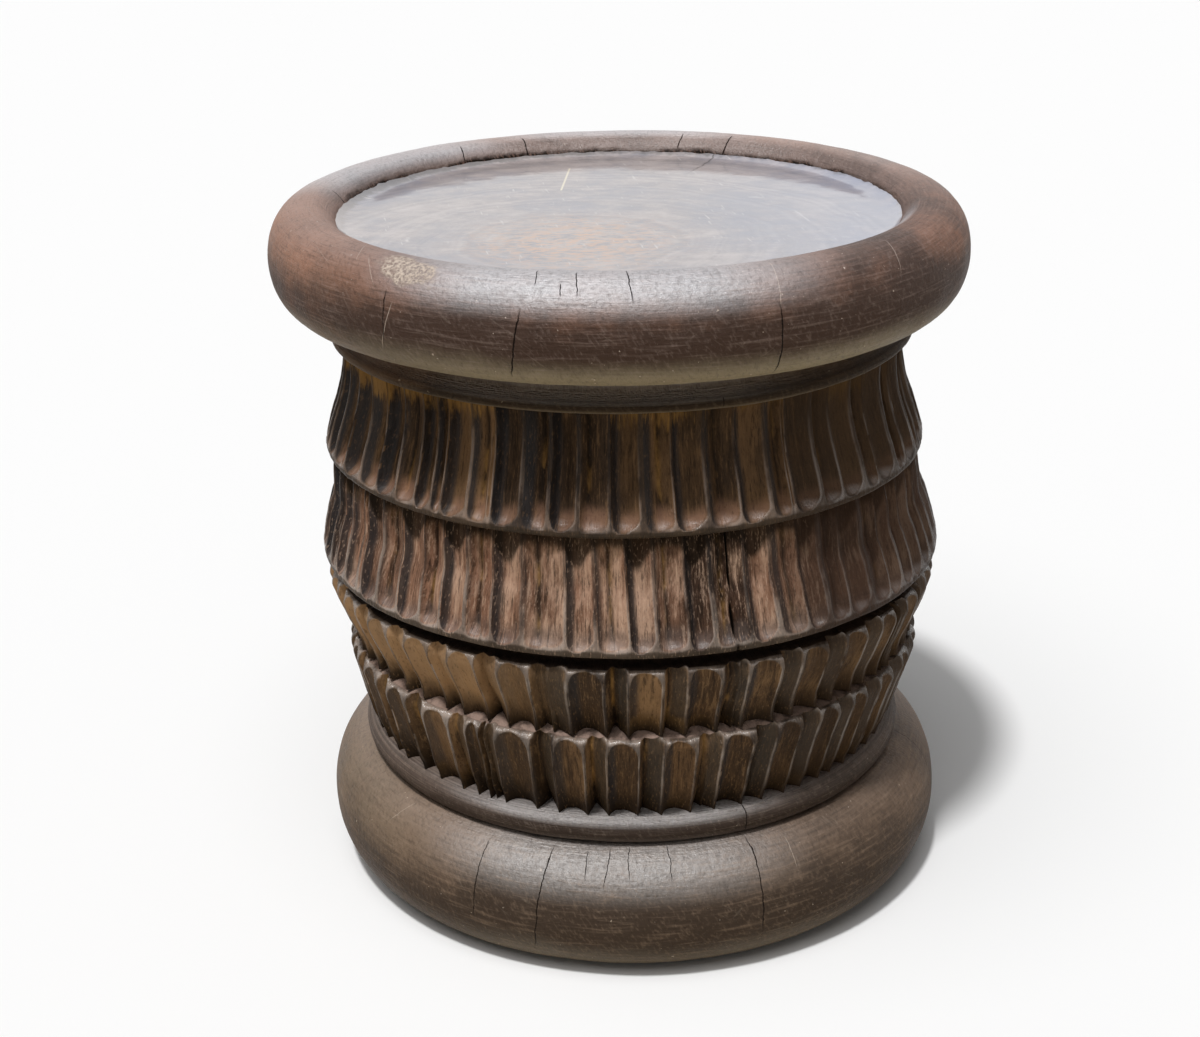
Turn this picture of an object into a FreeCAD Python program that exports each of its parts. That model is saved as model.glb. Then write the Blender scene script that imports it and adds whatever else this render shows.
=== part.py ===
"""A low drum table in carved hardwood. A dished tray with a thick rolled rim sits by a spigot
on a hollow drum, and the drum stands on a fat rounded base ring. Wooden dowels in the drum's
wall pin all three together. The drum carries four tiers of hand-cut flutes: the upper two
end in spoon cuts above a smooth lip, the lower two hang under a notched crest.

Millimetres, +Z up. The origin is at the middle of the face that rests on the floor."""

import FreeCAD, Part
import math
import os

import Sketcher

SIZES = {
    # Tray
    "rim_set_out": 26,
    "rim_half_width": 28,
    "rim_height": 71.5,
    "rim_lift": 2.5,
    "dish_depth": 15.7,
    "spigot_depth": 12,
    "spigot_clearance": 0.3,
    # Drum, heights from the bottom up
    "bead_height": 22,
    "fourth_tier_height": 65.5,
    "ledge_rise": 4.5,
    "third_tier_height": 54,
    "groove_height": 9,
    "second_tier_height": 82,
    "first_tier_height": 82.5,
    "collar_height": 22.5,
    # Drum, radius of its neck above the bead's seat, and how far its other parts stand out
    "drum_radius": 196,
    "drum_wall": 36,
    "fourth_tier_foot_set_out": 5,
    "fourth_tier_crest_set_out": 21.5,
    "ledge_set_in": 5,
    "third_tier_foot_set_out": 18.5,
    "third_tier_crest_set_out": 31,
    "groove_set_out": 16,
    "second_tier_lip_set_out": 35,
    "second_tier_top_set_out": 17,
    "first_tier_lip_set_out": 24.5,
    "first_tier_top_set_out": 8,
    "lip_height": 6,
    "lip_nose": 4,
    "lip_step": 0.6,
    "collar_set_out": 15.5,
    "collar_nose": 4,
    "collar_neck_set_out": 3,
    # Flutes
    "flute_count": 34,
    "wide_flute_depth": 5.5,
    "narrow_flute_depth": 4.5,
    # Base ring
    "base_height": 94,
    "base_set_out": 0.6,
    "base_half_width": 40,
    "base_step": 12,
    # Dowels
    "dowel_count": 6,
    "dowel_radius": 6,
    "dowel_clearance": 0.1,
    "dowel_end_gap": 1,
    "tray_hole_depth": 26,
    "drum_hole_depth": 34,
    "base_hole_depth": 34,
}

# The rim and the foot are ovals of two radii. This share of the half width rounds their noses.
NOSE_SHARE = 0.86

# Shares of one pair of flutes' stretch of edge that the wide and the narrow flute take.
WIDE_SHARE = 0.62
NARROW_SHARE = 0.28

# A tier's wall from bottom to top, as shares: of its height, of the way from its bottom radius
# to its top radius, and of the full depths of its wide and its narrow flutes.
FOURTH_TIER_SHARES = (
    (0.00, 0.00, 1.0, 1.0),
    (0.21, 0.30, 1.0, 1.0),
    (0.52, 0.60, 1.0, 1.0),
    (0.80, 0.93, 0.8, 1.0),
    (0.93, 1.00, 0.1, 1.0),
    (1.00, 0.95, 0.0, 1.1),
)
THIRD_TIER_SHARES = (
    (0.00, 0.00, 0.9, 0.9),
    (0.26, 0.20, 1.0, 1.0),
    (0.54, 0.66, 1.0, 1.0),
    (0.80, 0.97, 0.7, 1.1),
    (0.93, 1.02, 0.1, 1.1),
    (1.00, 0.95, 0.0, 1.2),
)
SECOND_TIER_SHARES = (
    (0.00, 0.00, 0.0, 0.0),
    (0.10, 0.02, 0.6, 0.7),
    (0.24, 0.20, 1.0, 1.0),
    (0.40, 0.44, 1.0, 1.0),
    (0.58, 0.69, 1.0, 1.0),
    (0.78, 0.83, 1.0, 1.0),
    (1.00, 1.00, 1.0, 1.0),
)
FIRST_TIER_SHARES = (
    (0.00, 0.00, 0.0, 0.0),
    (0.10, 0.08, 0.6, 0.7),
    (0.24, 0.33, 1.0, 1.0),
    (0.42, 0.64, 1.0, 1.0),
    (0.62, 0.87, 1.0, 1.0),
    (0.82, 0.99, 1.0, 1.0),
    (1.00, 1.00, 1.0, 1.0),
)

# Heights above the floor, as expressions of the sheet's cells.
BASE_TOP = "sizes.base_height"
BEAD_TOP = f"({BASE_TOP} + sizes.bead_height)"
LEDGE = f"({BEAD_TOP} + sizes.fourth_tier_height)"
THIRD_TIER_FOOT = f"({LEDGE} + sizes.ledge_rise)"
THIRD_TIER_CREST = f"({THIRD_TIER_FOOT} + sizes.third_tier_height)"
SECOND_TIER_FOOT = f"({THIRD_TIER_CREST} + sizes.groove_height)"
SECOND_TIER_LIP = f"({SECOND_TIER_FOOT} + sizes.lip_height)"
FIRST_TIER_FOOT = f"({SECOND_TIER_FOOT} + sizes.second_tier_height)"
FIRST_TIER_LIP = f"({FIRST_TIER_FOOT} + sizes.lip_height)"
COLLAR_FOOT = f"({FIRST_TIER_FOOT} + sizes.first_tier_height)"
DRUM_TOP = f"({COLLAR_FOOT} + sizes.collar_height)"
RIM_FOOT = f"({DRUM_TOP} + sizes.rim_lift)"
RIM_MIDDLE = f"({RIM_FOOT} + sizes.rim_height / 2)"
DISH_FLOOR = f"({RIM_FOOT} + sizes.rim_height - sizes.dish_depth)"

# Radii as expressions. The rim and the foot follow the drum, and the foot's bore is a step
# narrower than the drum's hollow.
RIM_CENTRE_RADIUS = "(sizes.drum_radius + sizes.rim_set_out)"
BASE_CENTRE_RADIUS = "(sizes.drum_radius + sizes.base_set_out)"
HOLLOW_RADIUS = "(sizes.drum_radius - sizes.drum_wall)"
BASE_BORE_RADIUS = f"({HOLLOW_RADIUS} - sizes.base_step)"
COLLAR_NECK_RADIUS = "(sizes.drum_radius + sizes.collar_neck_set_out)"

# The tray's plate runs half way from the rim's inner edge to the middle of the rim.
PLATE_RADIUS = f"({RIM_CENTRE_RADIUS} - sizes.rim_half_width / 2)"

# The drum's solid core runs just inside the deepest flutes, and the dowels stand in its wall.
CORE_RADIUS = "(sizes.drum_radius - sizes.wide_flute_depth)"
DOWEL_CIRCLE = f"(({CORE_RADIUS} + {HOLLOW_RADIUS}) / 2)"
HOLE_RADIUS = "(sizes.dowel_radius + sizes.dowel_clearance)"

doc = FreeCAD.newDocument("drum_table")


def fill_sheet():
    """One cell for each driving size, with its name beside it."""
    sheet = doc.addObject("Spreadsheet::Sheet", "sizes")
    for row, (name, size) in enumerate(SIZES.items(), start=1):
        sheet.set(f"A{row}", name)
        sheet.set(f"B{row}", str(size))
        sheet.setAlias(f"B{row}", name)
    doc.recompute()


def new_body(label):
    """An empty body whose label names its file."""
    body = doc.addObject("PartDesign::Body", label)
    body.Label = label
    return body


def origin_feature(body, role):
    """The body's own origin plane or axis with this role."""
    return next(item for item in body.Origin.OriginFeatures if item.Role == role)


def new_sketch(body, name, plane):
    """An empty sketch on one of the body's own origin planes."""
    sketch = body.newObject("Sketcher::SketchObject", name)
    sketch.AttachmentSupport = [(origin_feature(body, plane), "")]
    sketch.MapMode = "FlatFace"
    return sketch


def bind(sketch, constraint, expression):
    """A driving dimension of the sketch, tied to the sheet."""
    index = sketch.addConstraint(constraint)
    sketch.setExpression(f"Constraints[{index}]", expression)


def pin_point(sketch, edge, end, across, up):
    """Hold one end of an edge at a place given by two expressions."""
    x = sketch.evalExpression(across)
    y = sketch.evalExpression(up)
    if x == 0:
        sketch.addConstraint(Sketcher.Constraint("PointOnObject", edge, end, -2))
    else:
        bind(sketch, Sketcher.Constraint("DistanceX", -1, 1, edge, end, x), across)
    if y == 0:
        sketch.addConstraint(Sketcher.Constraint("PointOnObject", edge, end, -1))
    else:
        bind(sketch, Sketcher.Constraint("DistanceY", -1, 1, edge, end, y), up)


def left_arc(start, end, radius):
    """The arc from start to end, less than half a circle, that turns left on the way."""
    middle = (start + end) / 2
    half = (end - start) / 2
    reach = math.sqrt(max(radius * radius - half.Length * half.Length, 0))
    centre = middle + FreeCAD.Vector(-half.y, half.x, 0).normalize() * reach
    circle = Part.Circle(centre, FreeCAD.Vector(0, 0, 1), radius)
    first = math.atan2(start.y - centre.y, start.x - centre.x)
    last = math.atan2(end.y - centre.y, end.x - centre.x)
    return Part.ArcOfCircle(circle, first, last)


def draw_outline(body, name, corners):
    """A closed outline on the body's XZ plane. A corner is a radius and a height, and where it
    has a third entry, an arc of that radius leads to it, turning left."""
    sketch = new_sketch(body, name, "XZ_Plane")
    places = [[sketch.evalExpression(term) for term in corner] for corner in corners]
    points = [FreeCAD.Vector(place[0], place[1], 0) for place in places]
    for index in range(len(corners)):
        start = points[index - 1]
        if len(places[index]) > 2:
            sketch.addGeometry(left_arc(start, points[index], places[index][2]))
            curve = Sketcher.Constraint("Radius", index, places[index][2])
            bind(sketch, curve, corners[index][2])
        else:
            sketch.addGeometry(Part.LineSegment(start, points[index]))
    for index, corner in enumerate(corners):
        following = (index + 1) % len(corners)
        sketch.addConstraint(Sketcher.Constraint("Coincident", index, 2, following, 1))
        pin_point(sketch, index, 2, corner[0], corner[1])
    return sketch


def revolve(body, name, corners):
    """Turn an outline once round the body's upright axis."""
    sketch = draw_outline(body, name + "_outline", corners)
    turned = body.newObject("PartDesign::Revolution", name)
    turned.Profile = sketch
    turned.ReferenceAxis = (sketch, ["V_Axis"])
    turned.Angle = 360
    doc.recompute()
    return turned


def half_oval(centre, half_width, foot, height, side):
    """Corners up the outer half of an oval (side 1), or down its inner half (side -1)."""
    nose = f"({NOSE_SHARE} * {half_width})"
    half = f"({height} / 2)"
    flank = f"(({half_width}^2 + ({half} - {nose})^2 - {nose}^2) / (2 * ({half_width} - {nose})))"
    across = f"({half_width} - {flank} + {flank} * ({flank} - {half_width}) / ({flank} - {nose}))"
    rise = f"({flank} * ({half} - {nose}) / ({flank} - {nose}))"
    joint = f"{centre} + {side} * {across}"
    end = f"{foot} + {height}" if side > 0 else foot
    return [
        (joint, f"{foot} + {half} - {side} * {rise}", nose),
        (joint, f"{foot} + {half} + {side} * {rise}", flank),
        (centre, end, nose),
    ]


def bore_dowel_holes(body, name, face_height, depth, downward):
    """Blind holes for the dowels, sunk into a level face of a body."""
    sketch = new_sketch(body, name + "_circle", "XY_Plane")
    circle_radius = sketch.evalExpression(DOWEL_CIRCLE)
    hole_radius = sketch.evalExpression(HOLE_RADIUS)
    centre = FreeCAD.Vector(circle_radius, 0, 0)
    sketch.addGeometry(Part.Circle(centre, FreeCAD.Vector(0, 0, 1), hole_radius))
    bind(sketch, Sketcher.Constraint("Radius", 0, hole_radius), HOLE_RADIUS)
    pin_point(sketch, 0, 3, DOWEL_CIRCLE, "0")
    sketch.setExpression("AttachmentOffset.Base.z", face_height)
    hole = body.newObject("PartDesign::Pocket", name + "_hole")
    hole.Profile = sketch
    hole.setExpression("Length", depth)
    hole.Reversed = not downward
    doc.recompute()
    holes = body.newObject("PartDesign::PolarPattern", name)
    holes.Originals = [hole]
    holes.Axis = (origin_feature(body, "Z_Axis"), [""])
    holes.Angle = 360
    holes.setExpression("Occurrences", "sizes.dowel_count")
    body.Tip = holes
    doc.recompute()


def make_tray_top():
    """The rolled rim, and the plate inside it that carries the spigot and takes the dowels."""
    body = new_body("tray_top")
    rim = (RIM_CENTRE_RADIUS, "sizes.rim_half_width", RIM_FOOT, "sizes.rim_height")
    revolve(body, "rolled_rim", half_oval(*rim, 1) + half_oval(*rim, -1))
    spigot_radius = f"{HOLLOW_RADIUS} - sizes.spigot_clearance"
    spigot_foot = f"{DRUM_TOP} - sizes.spigot_depth"
    revolve(body, "plate", [
        ("0", spigot_foot),
        (spigot_radius, spigot_foot),
        (spigot_radius, DRUM_TOP),
        (COLLAR_NECK_RADIUS, DRUM_TOP),
        (PLATE_RADIUS, RIM_MIDDLE),
        (PLATE_RADIUS, DISH_FLOOR),
        ("0", DISH_FLOOR),
    ])
    bore_dowel_holes(body, "tray_holes", DRUM_TOP, "sizes.tray_hole_depth", False)
    return body


def make_base_ring():
    """The rounded foot, flat above and below, and open in the middle."""
    body = new_body("base_ring")
    bulge = half_oval(BASE_CENTRE_RADIUS, "sizes.base_half_width", "0", BASE_TOP, 1)
    revolve(body, "ring", [
        (BASE_BORE_RADIUS, "0"),
        (BASE_CENTRE_RADIUS, "0"),
        *bulge,
        (BASE_BORE_RADIUS, BASE_TOP),
    ])
    bore_dowel_holes(body, "base_holes", BASE_TOP, "sizes.base_hole_depth", True)
    return body


def standing_out(part):
    """The radius of a part of the drum that stands out from its neck."""
    return f"(sizes.drum_radius + sizes.{part}_set_out)"


def lip(foot, top, radius):
    """Corners up a smooth lip that is rounded below, with the core on either side of it."""
    return [
        (CORE_RADIUS, foot),
        (f"{radius} - sizes.lip_nose", foot),
        (radius, f"{foot} + sizes.lip_nose", "sizes.lip_nose"),
        (radius, top),
        (CORE_RADIUS, top),
    ]


def make_drum_core():
    """The drum's plain turned parts on a solid core: bead, ledge, groove, lips and collar."""
    body = new_body("drum_core")
    bead_nose = "(sizes.bead_height / 2)"
    bead_middle = f"{BASE_TOP} + {bead_nose}"
    ledge_edge = f"{standing_out('fourth_tier_crest')} - sizes.ledge_set_in"
    ledge_root = f"{standing_out('third_tier_foot')} - sizes.ledge_set_in"
    collar_edge = f"{standing_out('collar')} - sizes.collar_nose"
    revolve(body, "core", [
        ("0", BASE_TOP),
        ("sizes.drum_radius", BASE_TOP),
        (f"sizes.drum_radius + {bead_nose}", bead_middle, bead_nose),
        ("sizes.drum_radius", BEAD_TOP, bead_nose),
        (CORE_RADIUS, BEAD_TOP),
        (CORE_RADIUS, LEDGE),
        (ledge_edge, LEDGE),
        (ledge_root, THIRD_TIER_FOOT),
        (CORE_RADIUS, THIRD_TIER_FOOT),
        (CORE_RADIUS, THIRD_TIER_CREST),
        (standing_out("groove"), THIRD_TIER_CREST),
        (standing_out("groove"), SECOND_TIER_FOOT),
        *lip(SECOND_TIER_FOOT, SECOND_TIER_LIP, standing_out("second_tier_lip")),
        *lip(FIRST_TIER_FOOT, FIRST_TIER_LIP, standing_out("first_tier_lip")),
        (CORE_RADIUS, COLLAR_FOOT),
        (collar_edge, COLLAR_FOOT),
        (standing_out("collar"), f"{COLLAR_FOOT} + sizes.collar_nose", "sizes.collar_nose"),
        (COLLAR_NECK_RADIUS, DRUM_TOP),
        ("0", DRUM_TOP),
    ])
    return body


def fluted_ring(height, radius, wide_depth, narrow_depth):
    """A level closed wire: wide and narrow scallops in turn, with narrow lands between."""
    count = round(doc.sizes.flute_count)
    step = 2 * math.pi / count
    wide = step * WIDE_SHARE / 2
    narrow = step * NARROW_SHARE / 2

    def place(angle, reach):
        return FreeCAD.Vector(reach * math.sin(angle), -reach * math.cos(angle), height)

    edges = []
    for index in range(count):
        ridge = index * step
        groove = ridge + step / 2
        corners = (ridge - wide, ridge + wide, groove - narrow, groove + narrow)
        first, second, third, fourth = (place(angle, radius) for angle in corners)
        following = place(ridge + step - wide, radius)
        edges.append(Part.Arc(first, place(ridge, radius - wide_depth), second).toShape())
        edges.append(Part.makeLine(second, third))
        edges.append(Part.Arc(third, place(groove, radius - narrow_depth), fourth).toShape())
        edges.append(Part.makeLine(fourth, following))
    return Part.Wire(edges)


def make_tier(name, foot, height, foot_radius, top_radius, shares):
    """One tier of flutes: a smooth solid through level fluted rings."""
    tier = doc.addObject("Part::Feature", name)
    foot, height, foot_radius, top_radius = (
        tier.evalExpression(term) for term in (foot, height, foot_radius, top_radius))
    wide_depth = doc.sizes.wide_flute_depth
    narrow_depth = doc.sizes.narrow_flute_depth
    rings = []
    for rise, way, wide, narrow in shares:
        radius = foot_radius + way * (top_radius - foot_radius)
        rings.append(fluted_ring(foot + rise * height, radius, wide * wide_depth,
                                 narrow * narrow_depth))
    tier.Shape = Part.makeLoft(rings, True, False)
    return tier


def make_tiers():
    """The four tiers of flutes, from the lowest up."""
    return [
        make_tier("fourth_tier", BEAD_TOP, "sizes.fourth_tier_height",
                  standing_out("fourth_tier_foot"), standing_out("fourth_tier_crest"),
                  FOURTH_TIER_SHARES),
        make_tier("third_tier", THIRD_TIER_FOOT, "sizes.third_tier_height",
                  standing_out("third_tier_foot"), standing_out("third_tier_crest"),
                  THIRD_TIER_SHARES),
        make_tier("second_tier", SECOND_TIER_LIP, "sizes.second_tier_height - sizes.lip_height",
                  f"{standing_out('second_tier_lip')} - sizes.lip_step",
                  standing_out("second_tier_top"), SECOND_TIER_SHARES),
        make_tier("first_tier", FIRST_TIER_LIP, "sizes.first_tier_height - sizes.lip_height",
                  f"{standing_out('first_tier_lip')} - sizes.lip_step",
                  standing_out("first_tier_top"), FIRST_TIER_SHARES),
    ]


def upright_cylinder(name, radius, foot, height):
    """A cylinder on the drum's axis, from its foot's height up."""
    cylinder = doc.addObject("Part::Cylinder", name)
    cylinder.setExpression("Radius", radius)
    cylinder.setExpression("Height", height)
    cylinder.setExpression("Placement.Base.z", foot)
    return cylinder


def dowel_row(name, radius, foot, height):
    """Upright cylinders at even steps round the dowel circle."""
    row = []
    for index in range(round(doc.sizes.dowel_count)):
        cylinder = upright_cylinder(f"{name}_{index}", radius, foot, height)
        angle = f"{index} * 360 / sizes.dowel_count"
        cylinder.setExpression("Placement.Base.x", f"{DOWEL_CIRCLE} * cos({angle})")
        cylinder.setExpression("Placement.Base.y", f"{DOWEL_CIRCLE} * sin({angle})")
        row.append(cylinder)
    return row


def make_drum_body():
    """The core and the tiers in one piece, hollowed right through and bored for dowels."""
    blank = doc.addObject("Part::MultiFuse", "drum_blank")
    blank.Shapes = [make_drum_core(), *make_tiers()]
    drum_height = f"{DRUM_TOP} - {BASE_TOP}"
    depth = "sizes.drum_hole_depth"
    cutters = doc.addObject("Part::Compound", "drum_cutters")
    cutters.Links = [
        upright_cylinder("hollow", HOLLOW_RADIUS, BASE_TOP, drum_height),
        *dowel_row("drum_lower_hole", HOLE_RADIUS, BASE_TOP, depth),
        *dowel_row("drum_upper_hole", HOLE_RADIUS, f"{DRUM_TOP} - {depth}", depth),
    ]
    drum = doc.addObject("Part::Cut", "drum_body")
    drum.Base = blank
    drum.Tool = cutters
    drum.Label = "drum_body"
    doc.recompute()
    return drum


def make_dowels(name, foot, height):
    """A ring of loose dowels, short of the bottoms of their holes by a small gap."""
    dowels = doc.addObject("Part::Compound", name)
    short_foot = f"{foot} + sizes.dowel_end_gap"
    short_height = f"{height} - 2 * sizes.dowel_end_gap"
    dowels.Links = dowel_row(f"{name}_pin", "sizes.dowel_radius", short_foot, short_height)
    dowels.Label = name
    doc.recompute()
    return dowels


def check_and_export(pieces):
    """Stop if any object failed, then write each piece to its own file."""
    doc.recompute()
    for item in doc.Objects:
        if {"Invalid", "Error"} & set(item.State):
            raise RuntimeError(f"{item.Label} failed: {item.State}")
    for piece in pieces:
        if piece.Shape.isNull() or not piece.Shape.isValid():
            raise RuntimeError(f"{piece.Label} has no valid shape")
    os.makedirs("parts", exist_ok=True)
    for piece in pieces:
        piece.Shape.exportStep(f"parts/{piece.Label}.step")
        print(piece.Label, len(piece.Shape.Solids), "solids", round(piece.Shape.Volume))


def main():
    fill_sheet()
    tray_span = "sizes.drum_hole_depth + sizes.tray_hole_depth"
    base_span = "sizes.drum_hole_depth + sizes.base_hole_depth"
    check_and_export([
        make_tray_top(),
        make_drum_body(),
        make_base_ring(),
        make_dowels("tray_dowels", f"{DRUM_TOP} - sizes.drum_hole_depth", tray_span),
        make_dowels("base_dowels", f"{BASE_TOP} - sizes.base_hole_depth", base_span),
    ])


main()
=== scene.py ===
"""Looks of a carved drum table: a dished tray, a hollow drum with four tiers of gouged flutes,
and a fat rounded base ring, all of dark waxed hardwood. Outlines are radii and heights in
millimetres, and directions are degrees round the axis from the front."""

import math

import bmesh
import bpy
import numpy as np
from mathutils import Matrix, Vector


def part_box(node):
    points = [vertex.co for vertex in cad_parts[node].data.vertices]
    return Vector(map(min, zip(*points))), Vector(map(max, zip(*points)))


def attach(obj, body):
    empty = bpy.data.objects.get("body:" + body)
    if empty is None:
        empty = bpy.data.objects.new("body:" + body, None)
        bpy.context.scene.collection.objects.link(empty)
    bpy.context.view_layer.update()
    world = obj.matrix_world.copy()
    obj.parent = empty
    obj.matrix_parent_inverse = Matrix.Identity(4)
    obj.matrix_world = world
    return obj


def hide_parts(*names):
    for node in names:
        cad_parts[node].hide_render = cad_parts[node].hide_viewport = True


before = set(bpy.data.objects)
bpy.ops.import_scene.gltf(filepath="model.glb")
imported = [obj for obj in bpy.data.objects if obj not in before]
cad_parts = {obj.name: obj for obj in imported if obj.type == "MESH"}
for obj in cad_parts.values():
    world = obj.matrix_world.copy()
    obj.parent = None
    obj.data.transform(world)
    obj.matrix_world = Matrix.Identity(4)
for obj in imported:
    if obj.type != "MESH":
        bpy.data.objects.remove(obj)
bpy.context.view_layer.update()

bl_info = {
    "name": "Carved Drum Table",
    "version": (1, 0, 0),
    "blender": (4, 5, 0),
    "location": "3D View > Sidebar > Drum Table",
    "description": "Builds the carved and waxed surfaces of a drum table around its solids",
    "category": "Object",
}

MM = 0.001
TURN = 2 * math.pi

# Heights above the floor.
DRUM_FOOT, DRUM_TOP = (Vector(corner).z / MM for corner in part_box("drum_body"))
BEAD_TOP = DRUM_FOOT + 22
FOURTH_FOOT = BEAD_TOP - 0.8
THIRD_FOOT = BEAD_TOP + 69
SECOND_FOOT = THIRD_FOOT + 66.5
FIRST_FOOT = SECOND_FOOT + 81
COLLAR_FOOT = FIRST_FOOT + 81
DISH = 494.3
TRAY_FOOT = 436
SPIGOT_FOOT = 424

# Radii: the drum's hollow, how far in the tiers' faces run, the base's bore and the spigot.
HOLLOW = 160
CORE = 186
BORE = 148
SPIGOT = 159.7

# Rounded noses: radius and height of the middle, half the width and half the height. Those of
# the rim and the base are a little squarer than an oval, and the rim's inner half is narrower.
RIM_NOSE = ((222, 474.25), 28, 35.75)
COLLAR_NOSE = ((206.5, COLLAR_FOOT + 4.4), 5.4, 4.4)
BEAD_NOSE = ((196.5, (DRUM_FOOT + BEAD_TOP) / 2), 11, 10.9)
BASE_NOSE = ((196.6, 47), 40, 47)
NOSE_FATNESS = 2.15
INNER_NARROWING = 0.07

# Share of each pair of flutes that the wide one takes, in the mesh's own flute numbers, and how
# many columns of points each pair has.
WIDE_SHARE = 0.56
PAIR_COLUMNS = 40

# Edges that turn by more than this are shaded sharp.
SHARP_ANGLE = math.radians(48)

# The trunk is a little out of true: height, and how far the axis leans to the right there.
AXIS = ((0, 4.0), (94, 3.0), (116, 2.1), (181, 4.0), (253, 2.6), (335, -1.0), (415, -2.1),
        (460, -3.2), (510, -3.6))

# Where each wide flute starts and ends round the front.
FIRST_TIER_FLUTES = (
    (-64.3, -57.2), (-51.4, -45.7), (-40.7, -37.0), (-34.9, -29.4), (-24.6, -19.0),
    (-13.7, -8.5), (-3.1, 2.6), (7.9, 13.8), (19.6, 25.6), (30.2, 36.6), (41.3, 47.6),
    (51.7, 59.2), (63.5, 69.8),
)
SECOND_TIER_FLUTES = (
    (-67.5, -62.5), (-56.0, -50.4), (-44.8, -39.2), (-34.8, -29.6), (-24.6, -19.0),
    (-11.6, -6.6), (-1.0, 3.6), (9.0, 13.6), (19.8, 25.0), (30.5, 35.5), (40.2, 46.0),
    (51.0, 55.6), (60.0, 65.0),
)
THIRD_TIER_FLUTES = (
    (-66.0, -60.4), (-55.5, -49.5), (-44.3, -38.3), (-34.0, -28.7), (-24.3, -18.8),
    (-12.0, -5.5), (-1.5, 4.6), (8.8, 14.6), (19.3, 25.5), (29.6, 35.2), (39.6, 44.8),
    (49.2, 53.8), (58.5, 64.0),
)
FOURTH_TIER_FLUTES = (
    (-66.5, -60.0), (-55.7, -49.3), (-44.0, -37.3), (-33.4, -30.5), (-27.0, -20.0),
    (-15.7, -9.7), (-5.5, 0.4), (5.0, 10.9), (15.8, 21.8), (26.3, 31.7), (36.0, 41.0),
    (44.8, 49.5), (54.2, 59.6),
)

# Drying cracks and scratches on a rounded part. Each one runs from a direction and a place
# round the nose, where 0 is outward and 90 is up, to another such place, all in degrees, and
# ends with its width.
RIM_CRACKS = (
    (-15.5, 32, -17.5, -50, 1.5), (22.0, 30, 22.3, -60, 1.3), (-37.5, 34, -38.0, -22, 1.0),
    (-0.5, 100, 0.5, 36, 1.1), (-14.5, 93, -13.8, 56, 0.8), (-8.3, 90, -7.5, 45, 0.9),
    (-10.0, 62, -9.8, 44, 0.7), (-144.0, 105, -142.8, 152, 1.4), (-158.8, 100, -158.8, 150, 1.4),
    (155.0, 95, 155.5, 152, 1.7), (165.8, 100, 166.3, 135, 1.2), (-98.2, 112, -98.0, 150, 1.6),
    (118.0, 60, 121.0, -20, 1.3), (-171.0, 40, -170.0, -45, 1.4), (-112.0, 20, -110.0, -60, 1.2),
)
RIM_SCRATCHES = (
    (23.0, 90, 22.0, 20, 1.0), (47.5, 80, 45.5, 30, 0.9), (-36.0, 24, -39.0, -34, 1.2),
    (-44.5, 70, -40.0, 34, 1.0), (-49.0, 96, -46.0, 58, 0.8), (-58.0, 60, -51.0, 44, 0.8),
)
COLLAR_CRACKS = ((16.5, -40, 16.5, 60, 0.9), (-33.0, -40, -32.0, 10, 0.8))
BEAD_CRACKS = ((22.5, -60, 22.3, 88, 1.2), (-128.0, -60, -127.0, 88, 1.0))
BASE_CRACKS = (
    (-28.5, 68, -29.0, -14, 1.0), (-15.5, 77, -17.8, -36, 1.1), (-4.5, 77, -5.3, 34, 0.8),
    (-1.0, 80, -1.0, 41, 0.7), (-8.8, 73, -8.8, 40, 0.7), (6.5, 80, 6.5, 40, 0.7),
    (22.2, 80, 22.3, -24, 1.1), (79.0, 80, 77.0, 20, 0.9), (150.0, 85, 153.0, -30, 1.3),
    (-133.0, 80, -135.0, 0, 1.1), (-165.0, 70, -164.0, 10, 0.9),
)
BASE_SCRATCHES = ((29.5, 66, 29.5, 32, 0.9), (-49.0, 70, -52.0, 40, 0.8))

# The stage, in metres and degrees, with the lens in millimetres.
FLOOR_REACH = 9
LAMP_HEIGHT = 69
LAMP_ASIDE = -28
LENS = 58.5
CAMERA_PLACE = (-0.020, -1.3782, 0.8190)
CAMERA_DOWN = 22.156
CAMERA_ROLL = -0.9


class Signal:
    """One output socket of a node, which works in Python sums and adds the Math nodes."""

    def __init__(self, graph, socket):
        self.graph = graph
        self.socket = socket

    def math(self, operation, *others):
        return self.graph.math(operation, self, *others)

    def __add__(self, other):
        return self.math("ADD", other)

    def __sub__(self, other):
        return self.math("SUBTRACT", other)

    def __rsub__(self, other):
        return self.graph.math("SUBTRACT", other, self)

    def __mul__(self, other):
        return self.math("MULTIPLY", other)

    def __truediv__(self, other):
        return self.math("DIVIDE", other)

    def __rtruediv__(self, other):
        return self.graph.math("DIVIDE", other, self)

    def __pow__(self, other):
        return self.math("POWER", other)

    def __neg__(self):
        return self * -1.0

    def __abs__(self):
        return self.math("ABSOLUTE")

    __radd__ = __add__
    __rmul__ = __mul__

    def least(self, other):
        return self.math("MINIMUM", other)

    def most(self, other):
        return self.math("MAXIMUM", other)

    def clamp(self):
        return self.most(0.0).least(1.0)

    def fade(self, start, end):
        """0 at start and 1 at end, with a smooth run between them."""
        node = self.graph.node("ShaderNodeMapRange", {"interpolation_type": "SMOOTHSTEP"},
                               {"Value": self, "From Min": start, "From Max": end})
        return self.graph.signal(node, "Result")

    def near(self, middle, start, end):
        """1 near a value and 0 away from it, with a smooth run from start to end."""
        return 1.0 - abs(self - middle).fade(start, end)


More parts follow.
